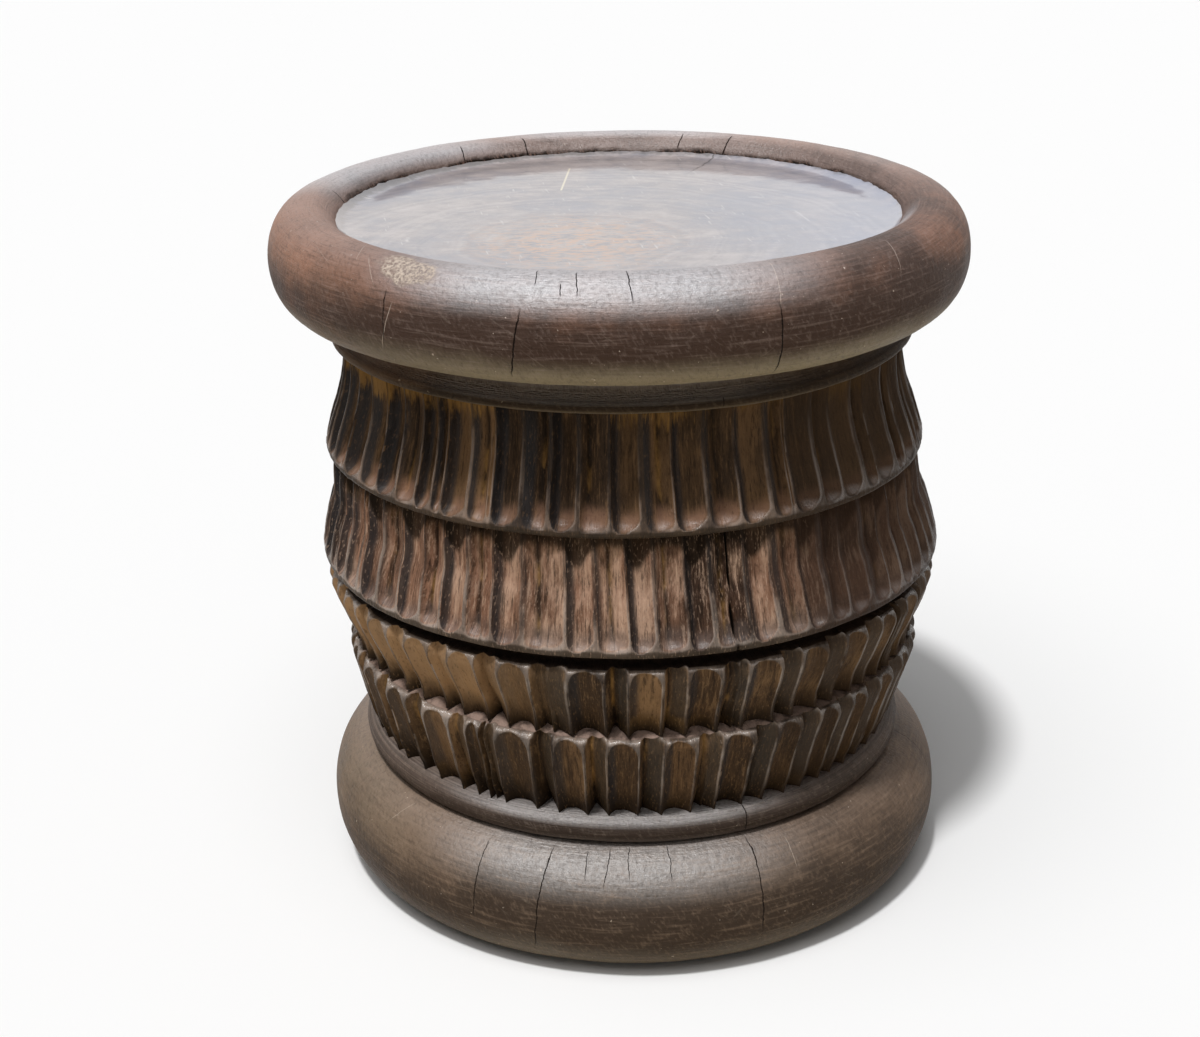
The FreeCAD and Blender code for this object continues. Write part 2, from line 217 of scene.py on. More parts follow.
class Graph:
    """A node tree under construction, for a material or for geometry."""

    def __init__(self, tree):
        self.tree = tree

    def node(self, kind, settings=None, values=None):
        """Add a node: its settings first, then the values or links of its sockets."""
        node = self.tree.nodes.new(kind)
        for name, setting in (settings or {}).items():
            setattr(node, name, setting)
        for key, value in (values or {}).items():
            self.plug(node.inputs[key], value)
        return node

    def plug(self, socket, value):
        """Link a socket, or set its number, vector or opaque colour."""
        if isinstance(value, Signal):
            value = value.socket
        if isinstance(value, bpy.types.NodeSocket):
            self.tree.links.new(value, socket)
        else:
            socket.default_value = (*value, 1.0) if socket.type == "RGBA" else value

    def signal(self, node, output=0):
        return Signal(self, node.outputs[output])

    def math(self, operation, *values):
        return self.signal(self.node("ShaderNodeMath", {"operation": operation},
                                     dict(enumerate(values))))

    def vector(self, x, y, z):
        return self.node("ShaderNodeCombineXYZ", None, {"X": x, "Y": y, "Z": z}).outputs[0]

    def parts(self, vector):
        """The three numbers of a vector."""
        node = self.node("ShaderNodeSeparateXYZ", None, {0: vector})
        return [self.signal(node, axis) for axis in range(3)]

    def vector_math(self, operation, vector, values):
        node = self.node("ShaderNodeVectorMath", {"operation": operation}, {0: vector, **values})
        return node.outputs[0]

    def scaled(self, vector, by):
        return self.vector_math("MULTIPLY", vector, {1: by})

    def moved(self, vector, by):
        return self.vector_math("ADD", vector, {1: by})

    def rotated(self, vector, angles):
        node = self.node("ShaderNodeVectorRotate", {"rotation_type": "EULER_XYZ"},
                         {"Vector": vector, "Rotation": angles})
        return node.outputs[0]

    def noise(self, place, scale, detail=3.0, roughness=0.55):
        """Cloudy noise from 0 to 1, which averages one half."""
        node = self.node("ShaderNodeTexNoise", {"noise_dimensions": "3D"},
                         {"Vector": place, "Scale": scale, "Detail": detail,
                          "Roughness": roughness})
        return self.signal(node)

    def swell(self, place, scale, detail=3.0):
        """Noise that averages 0 and seldom passes -0.5 or 0.5."""
        return self.noise(place, scale, detail) - 0.5

    def attribute(self, name):
        """A number stored on the mesh."""
        if self.tree.bl_idname == "ShaderNodeTree":
            return self.signal(self.node("ShaderNodeAttribute", {"attribute_name": name}), "Fac")
        node = self.node("GeometryNodeInputNamedAttribute", {"data_type": "FLOAT"},
                         {"Name": name})
        return self.signal(node, "Attribute")

    def store(self, geometry, name, value):
        """Keep a number on every point of the geometry, for the material to read."""
        node = self.node("GeometryNodeStoreNamedAttribute",
                         {"data_type": "FLOAT", "domain": "POINT"},
                         {"Geometry": geometry, "Name": name, "Value": value})
        return node.outputs["Geometry"]

    def chance(self, index, low, high, seed):
        """A random number for each whole index, the same in every run."""
        node = self.node("FunctionNodeRandomValue", {"data_type": "FLOAT"},
                         {2: low, 3: high, "ID": index, "Seed": seed})
        return self.signal(node, 1)

    def blend(self, mask, first, second):
        """Mix two colours by a mask from 0 to 1."""
        node = self.node("ShaderNodeMix", {"data_type": "RGBA", "clamp_factor": True},
                         {0: mask, 6: first, 7: second})
        return node.outputs[2]


class Paint:
    """The colour of a wood, laid on coat by coat from a table of named colours."""

    def __init__(self, graph, tint, first):
        self.graph = graph
        self.tint = tint
        self.colour = tint[first]

    def coat(self, mask, colour):
        """Cover what is there with a colour, or the one of that name, where the mask is 1."""
        if isinstance(colour, str):
            colour = self.tint[colour]
        self.colour = self.graph.blend(mask, self.colour, colour)


def new_geometry_tree(name, numbers):
    """Start a geometry tree that takes a mesh, a material and some named numbers. It gives the
    graph, the node that brings them in, and the numbers as signals."""
    tree = bpy.data.node_groups.new(name, "GeometryNodeTree")
    tree.interface.new_socket("Geometry", in_out="INPUT", socket_type="NodeSocketGeometry")
    tree.interface.new_socket("Geometry", in_out="OUTPUT", socket_type="NodeSocketGeometry")
    tree.interface.new_socket("Material", in_out="INPUT", socket_type="NodeSocketMaterial")
    for label, number in numbers.items():
        kind = "NodeSocketInt" if isinstance(number, int) else "NodeSocketFloat"
        socket = tree.interface.new_socket(label, in_out="INPUT", socket_type=kind)
        socket.default_value = number
    g = Graph(tree)
    inputs = g.node("NodeGroupInput")
    return g, inputs, {label: g.signal(inputs, label) for label in numbers}


def finish_tree(g, inputs, offset, stored):
    """Move the points, store what the material reads, and end with real geometry in the
    piece's material."""
    shape = g.node("GeometryNodeSetPosition", None,
                   {"Geometry": g.signal(inputs, "Geometry"), "Offset": offset}).outputs[0]
    for name, value in stored.items():
        shape = g.store(shape, name, value)
    real = g.node("GeometryNodeRealizeInstances", None, {"Geometry": shape}).outputs[0]
    dressed = g.node("GeometryNodeSetMaterial", None,
                     {"Geometry": real, "Material": g.signal(inputs, "Material")}).outputs[0]
    g.node("NodeGroupOutput", None, {"Geometry": dressed})


def carve(piece, tree_name, material, numbers):
    """Run a geometry tree on a piece and keep the result as its plain mesh."""
    tree = bpy.data.node_groups[tree_name]
    modifier = piece.modifiers.new("Carving", "NODES")
    modifier.node_group = tree
    sockets = {item.name: item.identifier for item in tree.interface.items_tree
               if item.item_type == "SOCKET" and item.in_out == "INPUT"}
    modifier[sockets["Material"]] = material
    for label, number in numbers.items():
        modifier[sockets[label]] = number
    evaluated = piece.evaluated_get(bpy.context.evaluated_depsgraph_get())
    carved = bpy.data.meshes.new_from_object(evaluated)
    piece.modifiers.clear()
    piece.data = carved
    carved.materials.clear()
    carved.materials.append(material)
    carved.shade_smooth()
    carved.set_sharp_from_angle(angle=SHARP_ANGLE)


def smooth_run(knots, count):
    """Points along a smooth curve through the knots, evenly shared between them by length."""
    knots = np.array(knots, float)
    padded = np.vstack((2 * knots[0] - knots[1], knots, 2 * knots[-1] - knots[-2]))
    fine = []
    for before, start, end, after in zip(padded, padded[1:], padded[2:], padded[3:]):
        for t in np.arange(0, 1, 0.05):
            fine.append(0.5 * (2 * start + (end - before) * t
                               + (2 * before - 5 * start + 4 * end - after) * t ** 2
                               + (3 * start - before - 3 * end + after) * t ** 3))
    fine = np.vstack((fine, knots[-1]))
    along = np.concatenate(([0], np.cumsum(np.hypot(*np.diff(fine, axis=0).T))))
    places = np.linspace(0, along[-1], count)
    return list(zip(np.interp(places, along, fine[:, 0]), np.interp(places, along, fine[:, 1])))


def straight(start, end, count):
    """Evenly spaced points from start up to but not including end."""
    return [tuple(np.array(start) + (np.array(end) - start) * step / count)
            for step in range(count)]


def oval(centre, half_width, half_height, start, end, count, fatness=2.0):
    """Points on an oval, by angles in degrees from outwards to upwards."""
    angles = np.radians(np.linspace(start, end, count))
    across = np.sign(np.cos(angles)) * np.abs(np.cos(angles)) ** (2 / fatness)
    up = np.sign(np.sin(angles)) * np.abs(np.sin(angles)) ** (2 / fatness)
    return list(zip(centre[0] + half_width * across, centre[1] + half_height * up))


def raised(points, foot):
    """Points of radius and rise, set above a foot."""
    return [(radius, foot + rise) for radius, rise in points]


def tier_outline(foot, face, count, ledge=(), lip=0):
    """A carved tier's outline. The face is a smooth run of so many points that may start in a
    rounded lip, and the ledge joins it to the tier's top."""
    edge = face[0][0] - lip
    outline = straight((HOLLOW, foot), (CORE, foot), 1)
    if lip:
        outline += straight((CORE, foot), (edge, foot), 3)
        outline += oval((edge, foot + lip), lip, lip, -90, -15, 5)
    else:
        outline += [(CORE, foot)]
    outline += smooth_run(raised(face, foot), count) + raised(ledge, foot)
    top = outline[-1][1]
    return outline + [(CORE, top)] + straight((HOLLOW, top), (HOLLOW, foot), 2)


def flute_columns(front, seed):
    """Directions and flute numbers for a carved tier, measured in front and filled in behind."""
    rng = np.random.default_rng(seed)
    span = front[-1][0] - front[0][0]
    step = span / (len(front) - 1)
    left = (360 - span) - step
    behind = round(left / step)
    starts = front[-1][0] + step + np.arange(behind) * left / behind
    starts = starts + rng.uniform(-1.1, 1.1, behind)
    pairs = list(front) + [(start, start + rng.uniform(4.9, 6.2)) for start in starts]
    places = []
    numbers = []
    for index, (start, end) in enumerate(pairs):
        places += [start, end]
        numbers += [index, index + WIDE_SHARE]
    places.append(pairs[0][0] + 360)
    numbers.append(len(pairs))
    turns = np.arange(len(pairs) * PAIR_COLUMNS) / PAIR_COLUMNS
    return np.radians(np.interp(turns, numbers, places)), turns


def lathe(name, outline, columns, rows):
    """A turned blank. Its outline runs anticlockwise as seen with the axis on the left: it is a
    loop, or a run that starts and ends on the axis. The rows are numbers for each of its
    points."""
    angles, turns = columns
    radii, heights = (np.array(part) for part in zip(*outline))
    count, round_count = len(outline), len(angles)
    lean = np.interp(heights, *zip(*AXIS)) * np.minimum(radii / 100, 1)
    x = np.outer(radii, np.sin(angles)) + lean[:, None]
    y = -np.outer(radii, np.cos(angles))
    z = np.repeat(heights[:, None], round_count, axis=1)
    points = np.stack((x, y, z), -1).reshape(-1, 3) * MM
    closed = radii[0] > 0
    row = np.arange(count if closed else count - 1)[:, None] * round_count
    above = (row + round_count) % (count * round_count)
    column = np.arange(round_count)[None, :]
    beside = (column + 1) % round_count
    faces = np.stack((row + column, row + beside, above + beside, above + column), -1)
    mesh = bpy.data.meshes.new(name)
    mesh.from_pydata(points.tolist(), [], faces.reshape(-1, 4).tolist())
    stored = {label: np.repeat(np.array(line, float), round_count)
              for label, line in rows.items()}
    stored["turn"] = np.tile(turns, count)
    stored["heading"] = np.tile(angles, count)
    for label, line in stored.items():
        store_numbers(mesh, label, line)
    if not closed:
        shell = bmesh.new()
        shell.from_mesh(mesh)
        bmesh.ops.remove_doubles(shell, verts=shell.verts, dist=1e-6)
        shell.to_mesh(mesh)
        shell.free()
    piece = bpy.data.objects.new(name, mesh)
    bpy.context.scene.collection.objects.link(piece)
    return piece


def store_numbers(mesh, label, numbers):
    mesh.attributes.new(label, "FLOAT", "POINT").data.foreach_set("value", numbers)


def flute_tree():
    """Cuts wide gouged flutes and narrow grooves into a turned blank, no two quite the same."""
    g, inputs, size = new_geometry_tree("carve_flutes", {
        "Wide Depth": 0.0075, "Narrow Depth": 0.0065, "End Length": 0.13, "End Roundness": 2.4,
        "Wall Steepness": 2.6, "Slant": -0.38, "Deepening": 0.0, "Through": 0.0,
        "Groove Left": -0.5, "Groove Right": 0.35, "Crest Rise": 0.0, "Wander": 0.12,
        "Unevenness": 0.0006, "Seed": 1,
    })
    seed = size["Seed"]
    place = g.node("GeometryNodeInputPosition").outputs[0]
    along, inset, wall, ledge, crack = (
        g.attribute(name) for name in ("along", "inset", "wall", "ledge", "crack"))

    turn = g.attribute("turn") + g.swell(place, 9.0, 2.0) * size["Wander"]
    turn = turn + g.swell(g.scaled(place, (1.0, 1.0, 0.5)), 60.0, 2.0) * 0.03
    index = turn.math("FLOOR")
    phase = turn - index
    in_wide = phase.math("LESS_THAN", WIDE_SHARE)

    across = phase * (2 / WIDE_SHARE) - 1.0
    reach = (along / size["End Length"]).clamp()
    opening = (1.0 - (1.0 - reach) ** size["End Roundness"]) ** (1.0 / size["End Roundness"])
    fill = opening.most(0.02) * g.chance(index, 0.93, 1.0, seed)
    skew = across - (1.0 - across * across) * size["Slant"]
    wide = (1.0 - (abs(skew) / fill) ** size["Wall Steepness"]).clamp()
    wide = wide * (reach * (2.0 - reach)) ** 0.6 * in_wide
    wide_cut = wide * g.chance(index, 0.8, 1.15, seed + 11) * size["Wide Depth"]

    beside = (phase - WIDE_SHARE) * (2 / (1 - WIDE_SHARE)) - 1.0
    apex = g.chance(index, size["Groove Left"], size["Groove Right"], seed + 23)
    slope = ((apex - beside) / (apex + 1.0)).most((beside - apex) / (1.0 - apex))
    narrow = (1.02 - slope * 1.06).clamp() ** 0.85
    comb = g.chance(index, -1.0, 1.0, seed + 31).clamp()
    rib = (1.0 - abs(beside - apex - g.chance(index, 0.3, 0.6, seed + 37)) * 5.0).clamp()
    narrow = (narrow - rib * comb * 0.8).clamp()
    narrow = narrow * (reach * 1.4).clamp().most(size["Through"]) * (1.0 - in_wide)
    narrow_cut = narrow * g.chance(index, 0.75, 1.25, seed + 41) * size["Narrow Depth"]

    depth = (wide_cut + narrow_cut) * (along * along * size["Deepening"] + 1.0)
    rough = (g.swell(place, 16.0, 2.0) * 3.0
             + g.swell(g.scaled(place, (1.0, 1.0, 0.25)), 150.0) * 1.8)
    cut = ((depth - inset).most(0.0) + rough * size["Unevenness"] + crack * 0.004) * wall

    shoulder = (1.0 - abs(phase - 0.93) * 8.0).clamp()
    edge = (1.0 - along.fade(0.0, 0.1)) * (1.0 - inset * 140.0).clamp() * wall
    rise = ((shoulder * size["Crest Rise"]
             + g.swell(place, 60.0, 2.0) * size["Crest Rise"] * 1.2) * edge
            + g.swell(place, 300.0) * ledge * 0.0010)

    outward = g.vector_math("NORMALIZE", g.scaled(place, (1.0, 1.0, 0.0)), {})
    inward = g.vector_math("SCALE", outward, {"Scale": -cut})
    finish_tree(g, inputs, g.moved(inward, g.vector(0.0, 0.0, rise)), {
        "hollow": wide * wall,
        "groove": narrow * wall,
        "side": across * in_wide + (beside - apex) * (1.0 - in_wide),
        "tone": g.chance(index, 0.0, 1.0, seed + 53),
    })


def turned_tree():
    """Gives a smooth turned part the slight lumps of hand work."""
    g, inputs, size = new_geometry_tree(
        "hand_shape", {"Lumps": 0.0011, "Ripples": 0.0003, "Ragged": 0.0})
    place = g.node("GeometryNodeInputPosition").outputs[0]
    normal = g.node("GeometryNodeInputNormal").outputs[0]
    behind = (g.attribute("heading") / math.pi).near(1.0, 0.3, 0.6)
    swell = (g.swell(place, 7.0, 2.0) * size["Lumps"] + g.swell(place, 45.0) * size["Ripples"]
             + g.swell(place, 90.0, 4.0) * size["Ragged"] * g.attribute("inner_edge") * behind)
    swell = swell * 2.0 * g.attribute("wall")
    finish_tree(g, inputs, g.vector_math("SCALE", normal, {"Scale": swell}), {})


def crack_values(outline, columns, path, width):
    """How near each mesh point is to a drying crack that follows a path of direction, height."""
    angles = (np.degrees(columns[0]) + 180) % 360 - 180
    radii, heights = (np.array(part) for part in zip(*outline))
    headings, levels = zip(*path)
    middle = np.interp(heights, levels, headings)
    away = np.abs(angles[None, :] - middle[:, None]) * np.pi / 180 * radii[:, None]
    inside = (heights >= levels[0] - 0.5) & (heights <= levels[-1] + 0.5)
    return (np.clip(1.25 - away / width, 0, 1) * inside[:, None]).reshape(-1)


def tier_rows(outline, closed_height, open_height, crest):
    """Numbers for a carved tier's outline: the share of the way from the flutes' closed end,
    how far a row lies in from the crest, and which rows are carved or are a dusty ledge."""
    rows = {"along": [], "inset": [], "wall": [], "ledge": []}
    for radius, height in outline:
        share = (height - closed_height) / (open_height - closed_height)
        carved = radius > CORE + 1
        top = crest is not None and carved and height >= crest[1] - 0.01
        rows["along"].append(max(share, 0.0))
        rows["inset"].append(max(crest[0] - radius, 0) * MM if top else 0.0)
        rows["wall"].append(1.0 if carved else 0.0)
        rows["ledge"].append(1.0 if top and radius < crest[0] - 3 else 0.0)
    return rows


def swing_row(outline, centre, half_width, half_height):
    """Where each outline point lies round a rounded nose: 0 is outward and 90 is up."""
    return [math.degrees(math.atan2((height - centre[1]) / half_height,
                                    (radius - centre[0]) / half_width) + TURN / 4) % 360 - 90
            for radius, height in outline]


def make_tier(name, foot, flutes, seed, ends, tint, sizes, profile, crest=None, crack=None):
    """Turn a tier's blank and carve its flutes. The flutes' closed and open ends, the crest and
    the crack's path rise from the foot."""
    outline = tier_outline(foot, **profile)
    columns = flute_columns(flutes, seed)
    closed_height, open_height = (foot + rise for rise in ends)
    if crest:
        crest = (crest[0], foot + crest[1])
    piece = lathe(name, outline, columns, tier_rows(outline, closed_height, open_height, crest))
    if crack:
        path, width = crack
        near = crack_values(outline, columns, raised(path, foot), width)
        store_numbers(piece.data, "crack", near)
    material = flute_material(name + "_wood", tint)
    carve(piece, "carve_flutes", material, {"Seed": seed, **sizes})
    place_piece(piece, "drum_body")


def make_turned(name, outline, count, material, node, sizes, rows=None, nose=None):
    """Turn a smooth part and give it the lumps of hand work, but a flat foot on the floor."""
    rows = {"wall": [1.0 if height > 2 else 0.0 for radius, height in outline], **(rows or {})}
    if nose:
        rows["swing"] = swing_row(outline, *nose)
    columns = np.arange(count)
    piece = lathe(name, outline, (columns * TURN / count, columns / count), rows)
    carve(piece, "hand_shape", material, sizes)
    place_piece(piece, node)


def place_piece(piece, node):
    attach(piece, "root")
    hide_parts(node)


def new_material(name):
    """A cleared material, its graph, and the coordinates fixed to the object."""
    material = bpy.data.materials.new(name)
    material.use_nodes = True
    material.node_tree.nodes.clear()
    g = Graph(material.node_tree)
    return material, g, g.node("ShaderNodeTexCoord").outputs["Object"]


def finish_material(g, colour, roughness, relief, polish=None, wax=None, dull=None):
    """Join colour, roughness and relief (in metres) in a dull wood shader, which gives way to
    one with the refraction of wax where polish is 1."""
    bump = g.node("ShaderNodeBump", None, {"Strength": 1.0, "Distance": 1.0, "Height": relief})
    surface = {"Base Color": colour, "Roughness": roughness, "Normal": bump.outputs[0]}
    shader = g.node("ShaderNodeBsdfPrincipled", None,
                    {**surface, "Specular IOR Level": 0.03, **(dull or {})})
    if polish is not None:
        waxed = g.node("ShaderNodeBsdfPrincipled", None, {**surface, "IOR": wax})
        shader = g.node("ShaderNodeMixShader", None,
                        {0: polish, 1: shader.outputs[0], 2: waxed.outputs[0]})
    g.node("ShaderNodeOutputMaterial", None, {"Surface": shader.outputs[0]})


def heading_of(g, place):
    """Direction round the axis."""
    x, y = g.parts(place)[:2]
    return x.math("ARCTAN2", -y) * math.degrees(1)


def reach_of(g, place):
    """Distance from the axis, in metres."""
    x, y = g.parts(place)[:2]
    return (x * x + y * y) ** 0.5


def wrapped(g, place, reach, up):
    """Coordinates that run round the axis on a circle. Its radius is the place's distance from
    the axis over reach."""
    x, y = g.parts(place)[:2]
    return g.vector(x / reach, y / reach, up)


def line_mask(g, place, lines, wobble):
    """Thin cracks or scratches over a rounded part, each as in the tables above."""
    heading, reach = heading_of(g, place), reach_of(g, place)
    swing = g.attribute("swing")
    wander = (g.noise(place, 75.0, 5.0, 0.65) - 0.5) * wobble
    mask = None
    for start, first, end, last, width in lines:
        share = (swing - first) / (last - first)
        away = abs((heading - start - share * (end - start)) * reach * math.radians(1) + wander)
        taper = (share * 6.0).least((1.0 - share) * 6.0).clamp()
        line = (1.0 - away.fade(width * 0.12 * MM, width * 0.45 * MM)) * taper
        mask = line if mask is None else mask.most(line)
    return mask


def wood_patches(g, place):
    return g.noise(place, 9.0, 4.0, 0.6)


def wood_mottling(g, place):
    return g.noise(g.scaled(place, (1.0, 1.0, 0.3)), 55.0, 5.0, 0.6)


def trunk_grain(g, place, stretch, scale, detail, roughness):
    """Noise that is as fine all round the trunk and is drawn out along it."""
    around = wrapped(g, place, reach_of(g, place) * 5.0, g.parts(place)[2] * stretch)
    return g.noise(around, scale, detail, roughness)


def wood_pores(g, place):
    return trunk_grain(g, place, 0.25, 1100.0, 2.0, 0.5)


def scratch_mask(g, place, amount):
    """Fine straight rubbing marks that cross each other at two slants."""
    first, second = (
        g.noise(g.scaled(g.rotated(place, angles), (1.0, 0.05, 0.05)), scale, 1.0)
        for angles, scale in (((0.5, 0.9, 0.3), 800.0), ((0.2, -0.8, 1.9), 900.0)))
    broken = g.noise(place, 45.0, 2.0).fade(0.48, 0.62)
    return first.most(second).fade(0.66, 0.74) * broken * amount


def flute_material(name, tint):
    """Gouged wood: worn ridges and edges with painted light and highlights, left walls painted
    dark as shade, old wax in the hollows, and darkened grooves and flute ends.
    """
    material, g, place = new_material(name)
    patches, mottling, pores = (make(g, place) for make in (wood_patches, wood_mottling,
                                                            wood_pores))
    fibres = trunk_grain(g, place, 0.09, 560.0, 6.0, 0.7)
    heading = heading_of(g, place)
    hollow, groove, side, tone, along, ledge, crack = (
        g.attribute(label) for label in ("hollow", "groove", "side", "tone", "along", "ledge",
                                         "crack"))
    depth = hollow.most(groove)
    uneven = mottling - 0.5

    # The bare wood, from dull to bright.
    paint = Paint(g, tint, "dull")
    paint.coat((patches * 0.8 + tone * 0.65 + uneven * 0.7 - 0.05).fade(0.38, 0.95), "body")
    paint.coat((mottling + tone * 0.3 - patches * 0.3).fade(0.5, 0.7) * 0.5, "bright")
    paint.coat((1.0 - fibres.fade(0.36, 0.47)) * tint["shine_share"], "bright")
    paint.coat(fibres.fade(0.52, 0.62) * tint["fibre_share"], "dark")

    # Painted shade and a painted blue-grey reflection on the left walls, which face away from the
    # lamp; the bottoms of the grooves darkened, or gold where mottled; and old wax in the
    # hollows.
    left = (1.0 - side.fade(-0.72, -0.28)) * depth.fade(0.01, 0.12)
    left = (left + uneven * 0.7 * left).clamp()
    paint.coat(left * tint["wall_share"], "wall")
    apex = (1.0 - abs(side) * 3.2).clamp() * groove.fade(0.55, 0.95)
    paint.coat(apex * 0.9, g.blend(mottling.fade(0.5, 0.66), tint["dark"], tint["gold"]))
    facet = side.fade(0.1, 0.4) * groove.fade(0.03, 0.2)
    paint.coat(facet * tint["facet_share"], "facet")
    gold = along.fade(0.45, 1.0) + patches * 2.0 + tone * 0.4 + fibres * 1.2 - 2.5
    paint.coat(gold.fade(0.08, 0.45) * tint["gold_share"], "gold")

    # Painted light on the lamp's side; ridge wear, paler where the lamp reaches; pale edges and
    # crest, partly painted highlights; painted light in the first tier's spoon cuts and painted
    # shade in the second's.
    sunny = 1.0 - heading.fade(-36, -8)
    paint.coat(sunny * (0.5 + mottling) * tint["left_share"], "bright")
    ridge = (1.0 - depth.fade(0.0, 0.16)) * (1.0 - ledge)
    lip = (1.0 - along.fade(0.0, 0.03)) * (1.0 - depth.fade(0.0, 0.05))
    # Ridge wear, paler on the lamp's side and towards the flutes' closed ends, where the lamp
    # reaches: partly wear and partly painted light.
    worn = (mottling.fade(0.4, 0.62) * 0.6 + tone * 0.4 + sunny * 0.3 - along * 1.1).clamp()
    paint.coat(ridge * 0.7, "ridge")
    paint.coat(ridge * worn * tint["land_share"], "land")
    # Pale edges on the side of each flute that faces the lamp and along the crest: partly wear,
    # partly painted highlights.
    edge = (1.0 - abs(depth - 0.09) * 11.0).clamp() * side.fade(-0.1, 0.5)
    edge = edge * (1.1 - along * tint["edge_run"]).clamp() * mottling.fade(0.32, 0.56)
    edge = edge * (along.fade(0.08, 0.26) * tint["arch"] + (1.0 - tint["arch"]))
    crest = (1.0 - along.fade(0.0, 0.05)) * (1.0 - ledge) * mottling.fade(0.35, 0.6)
    edge = edge.most(crest * (1.0 - depth.fade(0.1, 0.5)) * tint["crest_share"])
    paint.coat(edge * tint["edge_share"], "land")
    # Painted light at the spoon ends where the lamp reaches them on the first tier, and painted
    # shade there on the second tier.
    spoon = 1.0 - (along + hollow * 0.06 + uneven * 0.1).fade(0.12, 0.24)
    spoon = spoon * depth.fade(0.03, 0.3) * side.fade(-0.7, -0.1) * tint["spoon_share"]
    paint.coat(spoon * (mottling + 0.35).clamp(), "spoon")
    paint.coat(lip * tint["lip_share"], "lip")

    # Darkening at the flutes' open ends, which on the second tier is a painted shadow of the lip
    # above; pores; painted shade on the ledges under dust; flecks; and the painted shade on the
    # right.
    # Darker towards the flutes' open ends; where it dips down the hollows, as on the second tier,
    # it is a painted shadow of the lip above.
    stain = along + uneven * tint["stain_rag"] + hollow * tint["stain_dip"]
    stain = stain.fade(tint["stain_start"], tint["stain_end"]) * (1.0 - ledge)
    paint.coat(stain * tint["stain_share"], "dark")
    paint.coat(pores.fade(0.58, 0.7) * 0.35, "pore")
    paint.coat((1.0 - pores.fade(0.3, 0.42)) * 0.25 * (1.0 - ledge), "bright")
    dust = ledge * (g.noise(place, 150.0, 4.0).fade(0.3, 0.56) * 0.7 + 0.3) * tint["dust_share"]
    # Painted shade on the ledges, which lie under the tier above; dust goes over it.
    paint.coat(ledge, "dark")
    paint.coat(dust, "dust")
    fleck = (g.noise(place, 210.0) * 0.6 + mottling * 0.4).fade(0.655, 0.70)
    paint.coat(fleck * 0.35, "land")
    shade = heading.fade(18, 40) * (1.0 - heading.fade(95, 130)) * (0.7 + patches * 0.5)
    paint.coat(shade * tint["right_share"], "dull")
    paint.coat(crack.fade(0.2, 0.7), "crack")

    polish = (0.03 + ridge * worn * (1.0 - lip) * 0.6 + edge * 0.9 + left * 0.08
              + spoon * (1.0 - along.fade(0.03, 0.09)) * 0.8
              + facet * tint["facet_share"] * 0.2 * (mottling + 0.1))
    polish = polish * (1.0 - dust) * (1.0 - stain * 0.8)
    rough = 0.45 + uneven * 0.35 - ridge * 0.08 + dust * 0.3 + stain * 0.15 - polish * 0.2
    steps = g.swell(g.scaled(place, (0.3, 0.3, 1.0)), 220.0)
    relief = ((fibres - 0.5) * 0.0007 + (pores - 0.5) * 0.0003 + uneven * 0.0011
              + steps * (1.0 - along.fade(0.05, 0.3)) * 0.0009)
    finish_material(g, paint.colour, rough.most(0.22).least(1.0), relief, polish.clamp(), 1.75)
    return material


